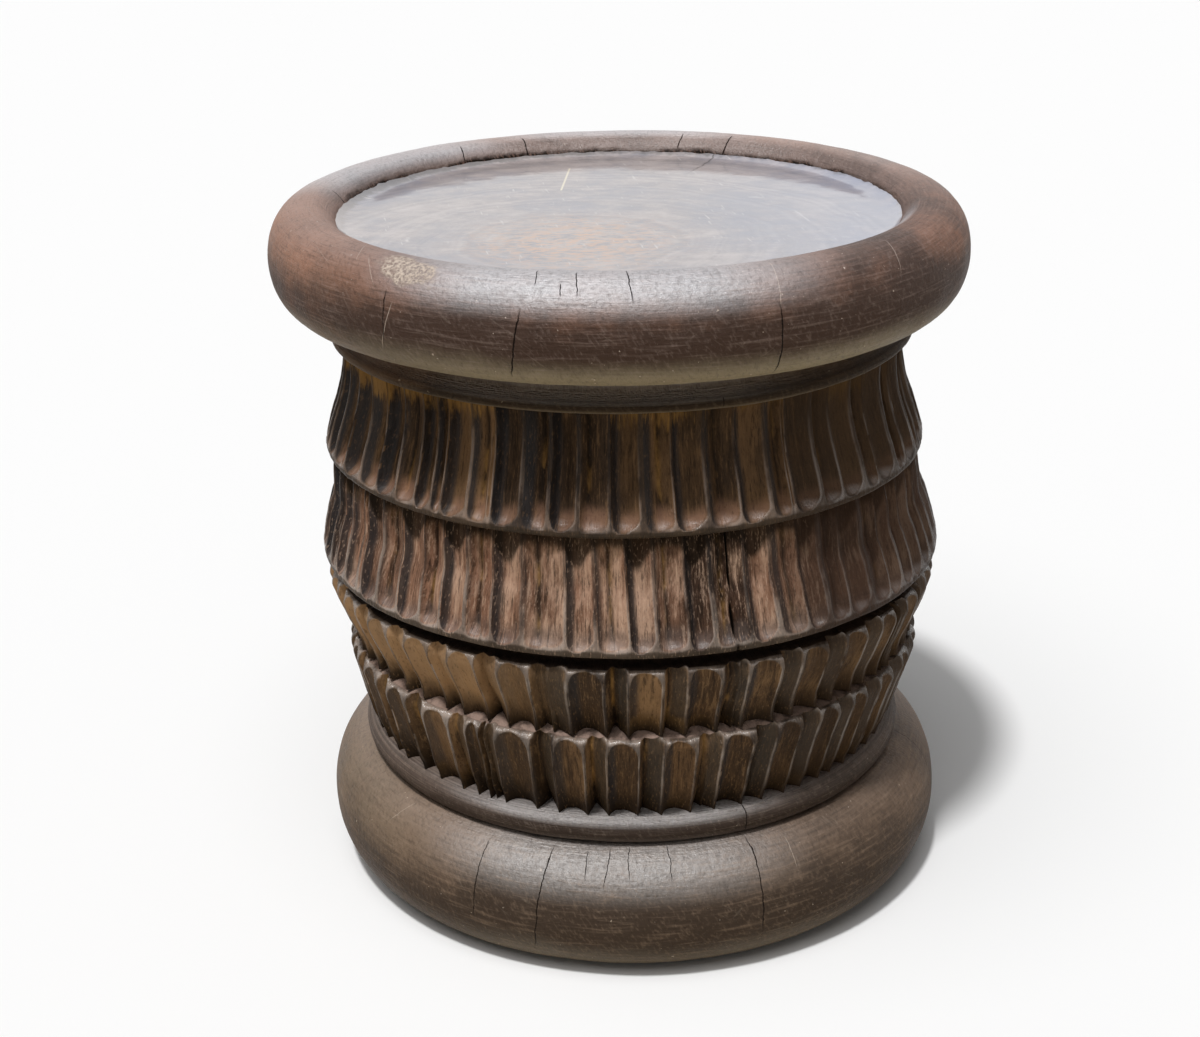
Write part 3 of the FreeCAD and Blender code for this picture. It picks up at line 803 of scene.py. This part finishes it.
def turned_material(name, tint, cracks, scratches=()):
    """Smooth waxed wood: red-brown above and dark round its belly, with painted olive light from
    the floor below, painted highlights, painted light on the lamp's side and painted shade on the
    other, rubbing marks, drying cracks and a polish that is brightest on top."""
    material, g, place = new_material(name)
    tint = {"seam": 0.0, "tooling": 0.0, "pore": (0.015, 0.010, 0.008),
            "crack": (0.007, 0.005, 0.004), "joint": (0.012, 0.008, 0.006), **tint}
    patches, mottling, pores = (make(g, place) for make in (wood_patches, wood_mottling,
                                                            wood_pores))
    heading, reach = heading_of(g, place), reach_of(g, place)
    swing = g.attribute("swing")
    clouds = g.noise(place, 30.0, 6.0, 0.62)
    grain = g.noise(g.scaled(g.rotated(place, (0.3, 0.5, 0.2)), (1.0, 0.4, 0.4)), 520.0, 5.0)
    fine = g.noise(wrapped(g, place, reach / 7.0, swing * 0.3), 1.0, 5.0, 0.62)
    tooling = g.noise(wrapped(g, place, reach / 1.2, swing * 0.11), 1.0, 4.0)
    tooling = tooling * tint["tooling"]
    leather = g.noise(wrapped(g, place, reach / 70.0, swing * 0.22), 1.0, 5.0, 0.6)
    uneven = clouds - 0.5

    # Where on the part: round it, and over its nose.
    upper = swing.fade(-12, 42)
    top = swing.fade(30, 80) * (1.0 - swing.fade(125, 165))
    front = heading.near(6.0, 18.0, 62.0)
    behind = abs(heading).fade(70, 120)
    # The side away from the lamp, which is darkened with painted shade.
    right = heading.fade(24, 48) * (1.0 - behind)
    # The lamp's side, which gets painted light.
    left = (1.0 - heading.fade(-60, -30)) * (1.0 - behind)
    inner = swing.fade(96, 120) * behind * tint["seam"]
    # Painted light: olive bounce from the floor on the underside, strongest at the front.
    below = (1.0 - (swing + (patches - 0.5) * 40).fade(-50, -12)) * (front * 0.6 + 0.4)

    # Glossy places, where a highlight is also painted: the front, and on the rim its inner brink,
    # its left shoulder and its back.
    shine = heading.near(-5.0, 14, 42) * swing.fade(14, 48) * (1.0 - swing.fade(150, 170))
    brink = swing.near(122.0, 5, 18) * heading.fade(2, 22) * (1.0 - heading.fade(58, 84))
    shoulder = heading.near(-124.0, 14, 36) * swing.near(92.0, 16, 44)
    far = abs(heading).fade(146, 170) * swing.near(84.0, 12, 34)
    shine = shine.most(brink.most(shoulder).most(far) * tint["seam"])

    paint = Paint(g, tint, "dark")
    # Warm wood in patches, paler upward and darker at the front; darker again on the side away
    # from the lamp, as painted shade.
    lit = (patches * 1.1 + uneven * 0.5 + (fine - 0.5) * 0.35 + upper * 0.36 - 0.24
           - front * 0.26 - right * (0.12 + tint["seam"] * 0.12))
    paint.coat(lit.fade(0.2, 0.8), "warm")
    # Painted light on the upper part of the lamp's side.
    paint.coat(left * upper * (mottling + 0.2).clamp() * 0.5, "rust")
    # Wear on top, partly a painted grey sheen, and less of it on the side away from the lamp as
    # painted shade.
    paint.coat(top * (clouds * 1.1 + 0.1).clamp() * (1.0 - right * 0.7) * 0.5, "worn")
    paint.coat(inner * (0.95 - clouds * 0.6).clamp(), "dark")
    # Painted highlight in the glossy places.
    paint.coat(shine * 0.5, "bloom")
    paint.coat(below * 0.85, "below")
    paint.coat(fine.fade(0.5, 0.72) * 0.3, "worn")
    paint.coat((1.0 - fine.fade(0.3, 0.46)) * 0.35, "dark")
    paint.coat(grain.fade(0.5, 0.7) * 0.22, "worn")
    paint.coat((1.0 - grain.fade(0.3, 0.5)) * 0.35, "dark")
    paint.coat(pores.fade(0.6, 0.74) * 0.35, "pore")
    # Dark breaks that give the painted highlight a leathery pattern.
    paint.coat(shine * (1.0 - leather.fade(0.34, 0.52)) * 0.22, "dark")
    marks = scratch_mask(g, place, 0.07)
    paint.coat(marks, "pale")
    flecks = g.noise(place, 330.0, 2.0).fade(0.735, 0.77)
    if scratches:
        flecks = flecks.most(line_mask(g, place, scratches, 0.003) * 0.6)
    paint.coat(flecks * 0.8, "pale")
    line = line_mask(g, place, cracks, 0.0045)
    paint.coat(line * 0.95, "crack")
    seam = (swing + uneven * 30.0).fade(130, 140) * behind * tint["seam"]
    paint.coat(seam * grain.fade(0.35, 0.5), "joint")
    paint.coat(tooling.fade(0.42, 0.6) * 0.6, "dark")

    rough = 0.46 + uneven * 0.4 + (grain - 0.5) * 0.25
    polish = upper * 0.06 + top * (0.22 + behind * 0.5) * (1.0 - right * 0.6) + below * 0.2
    polish = polish * (1.0 - inner * (1.1 - patches).clamp() * 0.8)
    glints = shine * (leather.fade(0.36, 0.60) * 0.5 + 0.75)
    polish = (polish + glints * tint["shine"] + uneven * 0.3 * (top + 0.2)).clamp()
    polish = polish * (1.0 - line) * (1.0 - seam)
    relief = (uneven * 0.0011 + (grain - 0.5) * 0.00012 - marks * 0.00004 - line * 0.0008
              + (leather - 0.5) * 0.0010 + (fine - 0.5) * 0.0008 + tooling * 0.0006)
    if "grit" in tint:
        across = (heading + 35.5) / 6.5 + (swing - 66.0) * 0.012
        along = (swing - 64.0) / 24.0
        patch = 1.0 - ((across * across + along * along) ** 0.5 + uneven * 2.2).fade(0.7, 1.0)
        grains = g.noise(place, 420.0).fade(0.34, 0.62)
        paint.coat(patch * (grains * 0.75 + 0.2), "grit")
        rough = rough + patch * 0.4
        polish = polish * (1.0 - patch)
        relief = relief + patch * grains * 0.0005
    finish_material(g, paint.colour, rough.clamp(), relief, polish, tint["wax"])
    return material


def dish_material(name, tint):
    """End grain on the tray's flat floor: growth rings round an orange heart, a loose straw, a
    split at the back, and a worn sheen; its pale colour is partly a painted reflection, with
    painted blue reflection in patches and towards the right."""
    material, g, place = new_material(name)
    patches = wood_patches(g, place)
    clouds = g.noise(g.scaled(place, (1.0, 1.5, 1.0)), 46.0, 8.0, 0.8)
    uneven = clouds - 0.5
    over_heart = g.moved(place, (0.034, 0.085, 0.0))
    from_heart = reach_of(g, over_heart) + g.swell(place, 14.0, 2.0) * 0.03
    rings = g.noise(g.vector(from_heart * 6.0 + clouds * 0.06, 0.0, 0.0), 22.0, 4.0)
    paint = Paint(g, tint, "dark")
    paint.coat((rings * 0.3 + patches * 0.4 + clouds * 0.6).fade(0.46, 0.82), "warm")
    # Painted blue-grey reflection in patches.
    paint.coat((1.0 - (patches * 0.6 + clouds * 0.5).fade(0.40, 0.64)) * 0.5, "blue")
    heart = 1.0 - (from_heart + uneven * 0.10).fade(0.012, 0.105)
    flakes = g.noise(g.scaled(place, (1.0, 2.2, 1.0)), 120.0, 4.0, 0.65)
    paint.coat(heart * flakes.fade(0.44, 0.6) * 0.85, "heart")
    paint.coat(heart * (1.0 - flakes.fade(0.32, 0.44)) * 0.7, "dark")
    paint.coat(scratch_mask(g, place, 0.8), "pale")
    straw_x, straw_y = g.parts(g.moved(place, (0.0425, -0.114, 0.0)))[:2]
    straw = (straw_x - straw_y * 0.075).near(0.0, 0.0004, 0.0011)
    paint.coat(straw * straw_y.near(0.0, 0.036, 0.041), "straw")
    # Painted blue reflection, growing towards the right.
    paint.coat(g.parts(over_heart)[0].fade(0.06, 0.24) * 0.4, "haze")
    heading, reach = heading_of(g, place), reach_of(g, place)
    off_split = (heading - 157.5) * reach * math.radians(1) + uneven * 0.012
    split = off_split.near(0.0, 0.0003, 0.0009) * reach.fade(0.13, 0.16)
    paint.coat(split * 0.8, "split")
    rim_edge = (reach + g.swell(place, 130.0, 4.0) * 0.012).fade(0.196, 0.2015)
    behind = abs(heading).fade(70, 110)
    paint.coat(rim_edge * 0.7, g.blend(behind, tint["fillet"], tint["edge"]))
    relief = uneven * 0.0004 + (flakes - 0.5) * 0.0001 - split * 0.0004
    finish_material(g, paint.colour, (0.42 + uneven * 0.3).clamp(), relief, dull={
        "Specular IOR Level": 0.5, "Sheen Weight": 0.3, "Coat IOR": 1.75,
        "Coat Roughness": 0.08, "Coat Weight": (1.0 + uneven * 0.8).clamp()})
    return material


def dowel_material(name):
    """Pale straight-grained pegs."""
    material, g, place = new_material(name)
    streaks = g.noise(g.scaled(place, (1.0, 1.0, 0.05)), 700.0)
    colour = g.blend(streaks.fade(0.35, 0.65), (0.32, 0.17, 0.08), (0.45, 0.27, 0.14))
    finish_material(g, colour, 0.5 + streaks * 0.1, (streaks - 0.5) * 0.0002)
    return material


def seen_rays(g):
    """1 for what the camera sees straight, in a reflection or through glass, and 0 otherwise."""
    rays = g.node("ShaderNodeLightPath")
    return (g.signal(rays, "Is Camera Ray").most(g.signal(rays, "Is Glossy Ray"))
            .most(g.signal(rays, "Is Transmission Ray")))


def number_property(name, description, default, most, **kind):
    return bpy.props.FloatProperty(name=name, description=description, default=default,
                                   min=0.0, max=most, **kind)


def colour_property(name, description, *default):
    return bpy.props.FloatVectorProperty(name=name, description=description, subtype="COLOR",
                                         size=3, min=0.0, max=1.0, default=default)


class DrumCarving(bpy.types.PropertyGroup):
    """How the flutes and the turned parts are cut."""

    wide_depth: number_property(
        "Wide flute depth", "How deep the wide gouged flutes are", 0.0075, 0.012, unit="LENGTH")
    narrow_depth: number_property(
        "Narrow groove depth", "How deep the grooves between them are", 0.007, 0.012,
        unit="LENGTH")
    crest_rise: number_property(
        "Crest rise", "How far the shoulders of the lower crests stand up", 0.004, 0.008,
        unit="LENGTH")
    unevenness: number_property(
        "Unevenness", "Lumps that the gouge leaves", 0.0007, 0.003, unit="LENGTH")
    lumps: number_property(
        "Lumps", "How far the rim and the foot stray from round", 0.0012, 0.004, unit="LENGTH")


class WoodColours(bpy.types.PropertyGroup):
    """The stained and worn tones of the wood."""

    # Also laid as painted shade on the ledges and as the painted shadow under the second tier's
    # lip.
    dark: colour_property("Dark stain", "Stain that fills the grooves", 0.014, 0.009, 0.006)
    # Painted shade and a painted blue-grey reflection on the flutes' left walls, which face away
    # from the lamp.
    wall: colour_property("Stained wall", "Blue-grey stain on the flutes' left walls",
                          0.017, 0.015, 0.016)
    gold: colour_property("Old wax", "Golden wax and dirt in the hollows", 0.270, 0.150, 0.050)
    # Also laid as painted light on ridges where the lamp reaches and as painted highlights along
    # edges and crests.
    land: colour_property("Worn wood", "Pale wear on the ridges and edges", 0.330, 0.260, 0.215)
    dust: colour_property("Dust", "Pinkish dust on the ledge", 0.340, 0.240, 0.195)
    rim: colour_property("Rim", "Red-brown wood of the rim", 0.290, 0.145, 0.095)
    foot: colour_property("Foot", "Brown wood of the base ring", 0.180, 0.122, 0.086)
    # Paler than the wood itself, partly as a painted reflection of the room in the dish's sheen.
    dish: colour_property("Dish", "Worn end grain of the dish floor", 0.440, 0.375, 0.370)
    heart: colour_property("Heart", "Orange heart of the dish floor", 0.560, 0.290, 0.140)


class StudioLook(bpy.types.PropertyGroup):
    """The lamps, the room and the floor."""

    lamp_strength: number_property("Lamp strength", "Strength of the high lamp", 2.1, 20.0)
    lamp_width: number_property("Lamp width", "How large the lamp looks from the table",
                                math.radians(5), 3.0, subtype="ANGLE")
    softbox_strength: number_property(
        "Softbox strength", "Strength of the broad softbox round the lamp", 1.1, 20.0)
    softbox_width: number_property("Softbox width", "How large the softbox looks from the table",
                                   math.radians(50), 3.0, subtype="ANGLE")
    room_light: number_property("Room light", "Light that comes evenly from all round",
                                0.14, 2.0)
    floor: colour_property("Floor", "Pale floor as the eye sees it", 0.90, 0.90, 0.90)
    floor_bounce: colour_property("Floor bounce", "How much light the floor throws back up",
                                  0.76, 0.69, 0.54)


def tints(**changes):
    """The colours and shares of a flute material, with the changes of one tier."""
    wood = bpy.context.scene.wood_colours
    tint = {name: tuple(getattr(wood, name)) for name in ("dark", "wall", "gold", "land", "dust")}
    return {
        **tint, "facet": (0.034, 0.025, 0.017), "ridge": (0.024, 0.020, 0.019),
        "lip": (0.034, 0.024, 0.016), "pore": (0.010, 0.007, 0.005),
        "crack": (0.004, 0.003, 0.002), "wall_share": 0.9, "gold_share": 0.7,
        "land_share": 0.6, "lip_share": 0.8, "fibre_share": 0.6, "shine_share": 0.5,
        "edge_share": 0.5, "edge_run": 1.3, "arch": 0.0, "crest_share": 0.0,
        "spoon_share": 0.7, "facet_share": 0.0, "stain_start": 0.7, "stain_end": 1.02,
        "stain_rag": 0.35, "stain_dip": 0.0, "stain_share": 0.0, "dust_share": 0.1,
        "left_share": 0.0, "right_share": 0.3, **changes}


def crested_tints(**changes):
    """The same for a lower tier, which has arches and a crest with pale edges, partly wear and
    partly painted highlights, in place of spoon cuts.
    """
    return tints(**{
        "gold_share": 0.4, "lip_share": 0.0, "spoon": (0.0, 0.0, 0.0), "spoon_share": 0.0,
        "shine_share": 0.35, "facet_share": 0.75, "land_share": 0.45, "wall_share": 0.8,
        "edge_share": 0.9, "edge_run": 0.7, "arch": 1.0, "crest_share": 1.0,
        "stain_share": 0.95, "right_share": 0.6, **changes})


class DRUM_OT_rim(bpy.types.Operator):
    """Make the tray's rolled rim"""
    bl_idname = "drum_table.rim"
    bl_label = "Rolled rim"

    def execute(self, context):
        middle = RIM_NOSE[0][0]
        outline = oval(*RIM_NOSE, -90, 270, 107, NOSE_FATNESS)[:-1]
        outline = [(radius + INNER_NARROWING * max(middle - radius, 0), height)
                   for radius, height in outline]
        material = turned_material("rim_wood", {
            "dark": (0.062, 0.038, 0.030), "warm": tuple(context.scene.wood_colours.rim),
            "worn": (0.30, 0.23, 0.21), "rust": (0.50, 0.29, 0.21),
            "below": (0.26, 0.215, 0.135), "pale": (0.62, 0.52, 0.46),
            "grit": (0.62, 0.52, 0.44), "bloom": (0.60, 0.61, 0.66),
            "seam": 1.0, "wax": 2.6, "shine": 0.55}, RIM_CRACKS, RIM_SCRATCHES)
        near_floor = [1.0 if radius < 206 and 490 < height < 502 else 0.0
                      for radius, height in outline]
        make_turned("tray_rim", outline, 900, material, "tray_top",
                    {"Lumps": context.scene.drum_carving.lumps, "Ragged": 0.0012},
                    {"inner_edge": near_floor}, RIM_NOSE)
        return {"FINISHED"}


class DRUM_OT_dish(bpy.types.Operator):
    """Make the tray's flat floor, its underside and its spigot"""
    bl_idname = "drum_table.dish"
    bl_label = "Dish floor"

    def execute(self, context):
        outline = [(0, SPIGOT_FOOT), (60, SPIGOT_FOOT), (120, SPIGOT_FOOT),
                   (SPIGOT, SPIGOT_FOOT), (SPIGOT, TRAY_FOOT), (180, TRAY_FOOT),
                   (199, TRAY_FOOT), (200, 440), (202.5, 449), (207, 470), (206, 490),
                   (203, 498.6), (201.2, 497.4), (199, 496.2), (196, 495.2), (192, 494.6)]
        outline += straight((188, DISH), (0, DISH), 64) + [(0, DISH)]
        wood = context.scene.wood_colours
        material = dish_material("dish_wood", {
            "dark": (0.10, 0.072, 0.066), "warm": tuple(wood.dish), "blue": (0.20, 0.23, 0.34),
            "heart": tuple(wood.heart), "pale": (0.55, 0.50, 0.50), "edge": (0.03, 0.02, 0.015),
            "fillet": (0.24, 0.17, 0.15), "straw": (0.75, 0.66, 0.48),
            "haze": (0.34, 0.40, 0.58), "split": (0.02, 0.012, 0.01)})
        make_turned("dish_floor", outline, 540, material, "tray_top",
                    {"Lumps": 0.0006, "Ripples": 0.0002})
        return {"FINISHED"}


class DRUM_OT_collar(bpy.types.Operator):
    """Make the collar under the tray: a cove above a small rounded bead"""
    bl_idname = "drum_table.collar"
    bl_label = "Collar"

    def execute(self, context):
        outline = straight((HOLLOW, COLLAR_FOOT), (COLLAR_NOSE[0][0], COLLAR_FOOT), 4)
        outline += oval(*COLLAR_NOSE, -90, 75, 14)
        cove = raised(((206.6, 9.6), (203.8, 12), (201.4, 15), (200, 19)), COLLAR_FOOT)
        outline += smooth_run((*cove, (199, DRUM_TOP)), 16)
        outline += straight((198, DRUM_TOP), (HOLLOW, DRUM_TOP), 3)
        outline += straight((HOLLOW, DRUM_TOP), (HOLLOW, COLLAR_FOOT), 3)
        material = turned_material("collar_wood", {
            "dark": (0.045, 0.030, 0.020), "warm": (0.15, 0.095, 0.058),
            "worn": (0.20, 0.150, 0.11), "rust": (0.13, 0.075, 0.044),
            "below": (0.14, 0.105, 0.068), "pale": (0.40, 0.32, 0.25),
            "bloom": (0.20, 0.17, 0.14), "tooling": 0.6, "wax": 1.6, "shine": 0.8},
            COLLAR_CRACKS)
        make_turned("drum_collar", outline, 900, material, "drum_body",
                    {"Lumps": 0.0009, "Ripples": 0.0004}, nose=COLLAR_NOSE)
        return {"FINISHED"}


class DRUM_OT_upper_tiers(bpy.types.Operator):
    """Carve the two upper tiers, whose flutes end in spoon cuts above a smooth lip"""
    bl_idname = "drum_table.upper_tiers"
    bl_label = "Upper tiers"

    def execute(self, context):
        carving = context.scene.drum_carving
        sizes = {"Wide Depth": carving.wide_depth, "Narrow Depth": carving.narrow_depth,
                 "Unevenness": carving.unevenness}
        # The first tier's spoon ends are painted pale where the lamp lights them.
        make_tier("first_tier", FIRST_FOOT, FIRST_TIER_FLUTES, 3, (4, 81), tints(
            dull=(0.045, 0.028, 0.018), body=(0.130, 0.075, 0.038),
            bright=(0.200, 0.118, 0.064), land=(0.330, 0.225, 0.165),
            spoon=(0.290, 0.165, 0.112), gold_share=0.9, land_share=0.5, right_share=0.8,
        ), sizes, {"lip": 2.2, "count": 60, "face": (
            (220.6, 2.2), (220.3, 6), (219.0, 11), (215.4, 23), (210.0, 38), (206.0, 53),
            (204.0, 68), (204.6, 81))})
        # The second tier's spoon ends are painted dark blue-grey as shade, and the tops of its
        # flutes carry a painted shadow of the first tier's lip.
        make_tier("second_tier", SECOND_FOOT, SECOND_TIER_FLUTES, 8, (4.5, 81), tints(
            dull=(0.040, 0.023, 0.016), body=(0.300, 0.162, 0.106),
            bright=(0.620, 0.430, 0.320), spoon=(0.110, 0.088, 0.082), gold_share=0.2,
            land_share=0.75, fibre_share=0.65, spoon_share=0.6, stain_start=0.84,
            stain_end=0.93, stain_rag=0.12, stain_dip=0.2, stain_share=0.85, right_share=0.9,
        ), {**sizes, "Wide Depth": carving.wide_depth * 0.75}, {
            "lip": 2.2, "count": 60, "face": (
                (231.2, 2.2), (231.2, 5.5), (230.6, 9), (228.2, 19.5), (223.8, 34.5),
                (219.4, 46.5), (217.6, 64.5), (214.4, 82.5))},
            crack=(((16.9, 0), (16.6, 20), (17.0, 50), (16.9, 81)), 0.7))
        return {"FINISHED"}


class DRUM_OT_lower_tiers(bpy.types.Operator):
    """Carve the two lower tiers, whose arched flutes hang under a notched crest"""
    bl_idname = "drum_table.lower_tiers"
    bl_label = "Lower tiers"

    def execute(self, context):
        carving = context.scene.drum_carving
        sizes = {"Wide Depth": carving.wide_depth * 0.62, "Narrow Depth": carving.narrow_depth,
                 "Unevenness": carving.unevenness, "Crest Rise": carving.crest_rise,
                 "Through": 1.0, "Deepening": 1.0, "End Length": 0.2, "End Roundness": 2.2,
                 "Wall Steepness": 2.8, "Slant": -0.2, "Groove Left": -0.8,
                 "Groove Right": -0.35}
        # Painted light on the lamp's side: strong on the third tier.
        make_tier("third_tier", THIRD_FOOT, THIRD_TIER_FLUTES, 13, (55, 0), crested_tints(
            dull=(0.052, 0.031, 0.018), body=(0.150, 0.085, 0.044),
            bright=(0.340, 0.210, 0.115), left_share=0.9, stain_start=0.6), sizes, {
                "count": 44, "face": (
                    (214.3, 0), (214.6, 5), (217, 15), (223.3, 30), (228.4, 44),
                    (228.9, 48.5), (227.8, 52.5), (226, 54.6), (222, 55.8)),
                "ledge": ((218, 56.4), (214, 57), (212.4, 59), (212, 62), (212, 67.5))},
            crest=(227, 54))
        # Painted light on the lamp's side: slight on the fourth tier.
        make_tier("fourth_tier", FOURTH_FOOT, FOURTH_TIER_FLUTES, 21, (66.3, 0), crested_tints(
            dull=(0.045, 0.027, 0.016), body=(0.125, 0.071, 0.037),
            bright=(0.290, 0.175, 0.092), left_share=0.15, stain_start=0.5,
            dust_share=0.95), sizes, {
                "count": 50, "face": (
                    (200.6, 0), (202.5, 7), (206.2, 16), (211.2, 35), (216.4, 53),
                    (217.8, 59), (217.2, 63), (215.4, 66), (212, 67.4)),
                "ledge": ((208, 69), (204, 70.4), (200, 70.8))},
            crest=(216.4, 65))
        return {"FINISHED"}


class DRUM_OT_bead(bpy.types.Operator):
    """Make the rounded bead at the foot of the drum"""
    bl_idname = "drum_table.bead"
    bl_label = "Foot bead"

    def execute(self, context):
        outline = straight((HOLLOW, DRUM_FOOT), (195, DRUM_FOOT), 3)
        outline += oval(*BEAD_NOSE, -88, 90, 30)
        outline += straight((194, BEAD_TOP), (HOLLOW, BEAD_TOP), 3)
        outline += straight((HOLLOW, BEAD_TOP), (HOLLOW, DRUM_FOOT), 2)
        material = turned_material("bead_wood", {
            "dark": (0.05, 0.035, 0.028), "warm": (0.13, 0.09, 0.07),
            "worn": tuple(context.scene.wood_colours.land), "rust": (0.20, 0.15, 0.12),
            "below": (0.10, 0.07, 0.05), "pale": (0.50, 0.42, 0.36),
            "bloom": (0.36, 0.33, 0.32), "tooling": 1.0, "wax": 2.6, "shine": 0.9},
            BEAD_CRACKS)
        make_turned("foot_bead", outline, 900, material, "drum_body",
                    {"Lumps": 0.001, "Ripples": 0.0004}, nose=BEAD_NOSE)
        return {"FINISHED"}


class DRUM_OT_base(bpy.types.Operator):
    """Make the fat rounded base ring"""
    bl_idname = "drum_table.base"
    bl_label = "Base ring"

    def execute(self, context):
        outline = straight((BORE, 0), (BASE_NOSE[0][0], 0), 3)
        outline += oval(*BASE_NOSE, -90, 90, 72, NOSE_FATNESS)
        outline += straight((190, DRUM_FOOT), (BORE, DRUM_FOOT), 4)
        outline += straight((BORE, DRUM_FOOT), (BORE, 0), 4)
        material = turned_material("base_wood", {
            "dark": (0.055, 0.038, 0.028), "warm": tuple(context.scene.wood_colours.foot),
            "worn": (0.30, 0.215, 0.160), "rust": (0.20, 0.16, 0.11),
            "below": (0.12, 0.095, 0.065), "pale": (0.55, 0.46, 0.38),
            "bloom": (0.34, 0.32, 0.31), "wax": 2.2, "shine": 0.5},
            BASE_CRACKS, BASE_SCRATCHES)
        make_turned("foot_ring", outline, 1080, material, "base_ring",
                    {"Lumps": context.scene.drum_carving.lumps}, nose=BASE_NOSE)
        return {"FINISHED"}


class DRUM_OT_dowels(bpy.types.Operator):
    """Give the hidden dowels their plain wood"""
    bl_idname = "drum_table.dowels"
    bl_label = "Dowels"

    def execute(self, context):
        material = dowel_material("dowel_wood")
        for node in ("tray_dowels", "base_dowels"):
            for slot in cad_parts[node].material_slots:
                slot.link = "OBJECT"
                slot.material = material
        return {"FINISHED"}


class DRUM_OT_stage(bpy.types.Operator):
    """Set the floor, the light and the camera"""
    bl_idname = "drum_table.stage"
    bl_label = "Stage"

    def execute(self, context):
        scene = context.scene
        look = scene.studio_look
        far = FLOOR_REACH
        sheet = bpy.data.meshes.new("floor")
        sheet.from_pydata([(-far, -far, 0), (far, -far, 0), (far, far, 0), (-far, far, 0)], [],
                          [(0, 1, 2, 3)])
        floor = bpy.data.objects.new("floor", sheet)
        scene.collection.objects.link(floor)
        material, g = new_material("floor_white")[:2]
        colour = g.blend(seen_rays(g), tuple(look.floor_bounce), tuple(look.floor))
        shader = g.node("ShaderNodeBsdfPrincipled", None, {
            "Base Color": colour, "Roughness": 0.9, "Specular IOR Level": 0.0})
        g.node("ShaderNodeOutputMaterial", None, {"Surface": shader.outputs[0]})
        floor.data.materials.append(material)

        world = bpy.data.worlds.new("studio")
        scene.world = world
        world.use_nodes = True
        world.node_tree.nodes.clear()
        g = Graph(world.node_tree)
        strength = seen_rays(g) * (1.0 - look.room_light) + look.room_light
        sky = g.node("ShaderNodeBackground", None,
                     {"Color": (1.0, 1.0, 1.0), "Strength": strength})
        g.node("ShaderNodeOutputWorld", None, {"Surface": sky.outputs[0]})

        for name, strength, width in (("high_lamp", look.lamp_strength, look.lamp_width),
                                      ("softbox", look.softbox_strength, look.softbox_width)):
            lamp = bpy.data.lights.new(name, "SUN")
            lamp.energy = strength
            lamp.angle = width
            lamp_object = bpy.data.objects.new(name, lamp)
            lamp_object.matrix_world = (
                Matrix.Rotation(math.radians(LAMP_ASIDE), 4, "Z")
                @ Matrix.Rotation(math.radians(90 - LAMP_HEIGHT), 4, "X"))
            scene.collection.objects.link(lamp_object)

        camera = bpy.data.cameras.new("camera")
        camera.sensor_width = 36.0
        camera.sensor_fit = "HORIZONTAL"
        camera.lens = LENS
        camera_object = bpy.data.objects.new("camera", camera)
        camera_object.matrix_world = (
            Matrix.Translation(CAMERA_PLACE)
            @ Matrix.Rotation(math.radians(90 - CAMERA_DOWN), 4, "X")
            @ Matrix.Rotation(math.radians(CAMERA_ROLL), 4, "Z"))
        scene.collection.objects.link(camera_object)
        scene.camera = camera_object
        scene.view_settings.view_transform = "Standard"
        return {"FINISHED"}


class DRUM_PT_panel(bpy.types.Panel):
    """Lists the table's pieces and their sizes and colours"""
    bl_idname = "DRUM_PT_panel"
    bl_label = "Carved Drum Table"
    bl_space_type = "VIEW_3D"
    bl_region_type = "UI"
    bl_category = "Drum Table"

    def draw(self, context):
        for name, kind in GROUPS.items():
            box = self.layout.box()
            for label in kind.__annotations__:
                box.prop(getattr(context.scene, name), label)
        for operator in OPERATORS:
            self.layout.operator(operator.bl_idname)


GROUPS = {"drum_carving": DrumCarving, "wood_colours": WoodColours, "studio_look": StudioLook}
OPERATORS = (DRUM_OT_stage, DRUM_OT_rim, DRUM_OT_dish, DRUM_OT_collar, DRUM_OT_upper_tiers,
             DRUM_OT_lower_tiers, DRUM_OT_bead, DRUM_OT_base, DRUM_OT_dowels)
CLASSES = (*GROUPS.values(), *OPERATORS, DRUM_PT_panel)


def register():
    for item in CLASSES:
        bpy.utils.register_class(item)
    for name, kind in GROUPS.items():
        setattr(bpy.types.Scene, name, bpy.props.PointerProperty(type=kind))


def unregister():
    for name in GROUPS:
        delattr(bpy.types.Scene, name)
    for item in reversed(CLASSES):
        bpy.utils.unregister_class(item)


def main():
    register()
    flute_tree()
    turned_tree()
    for operator in OPERATORS:
        group, name = operator.bl_idname.split(".")
        getattr(getattr(bpy.ops, group), name)()


if __name__ == "__main__":
    main()
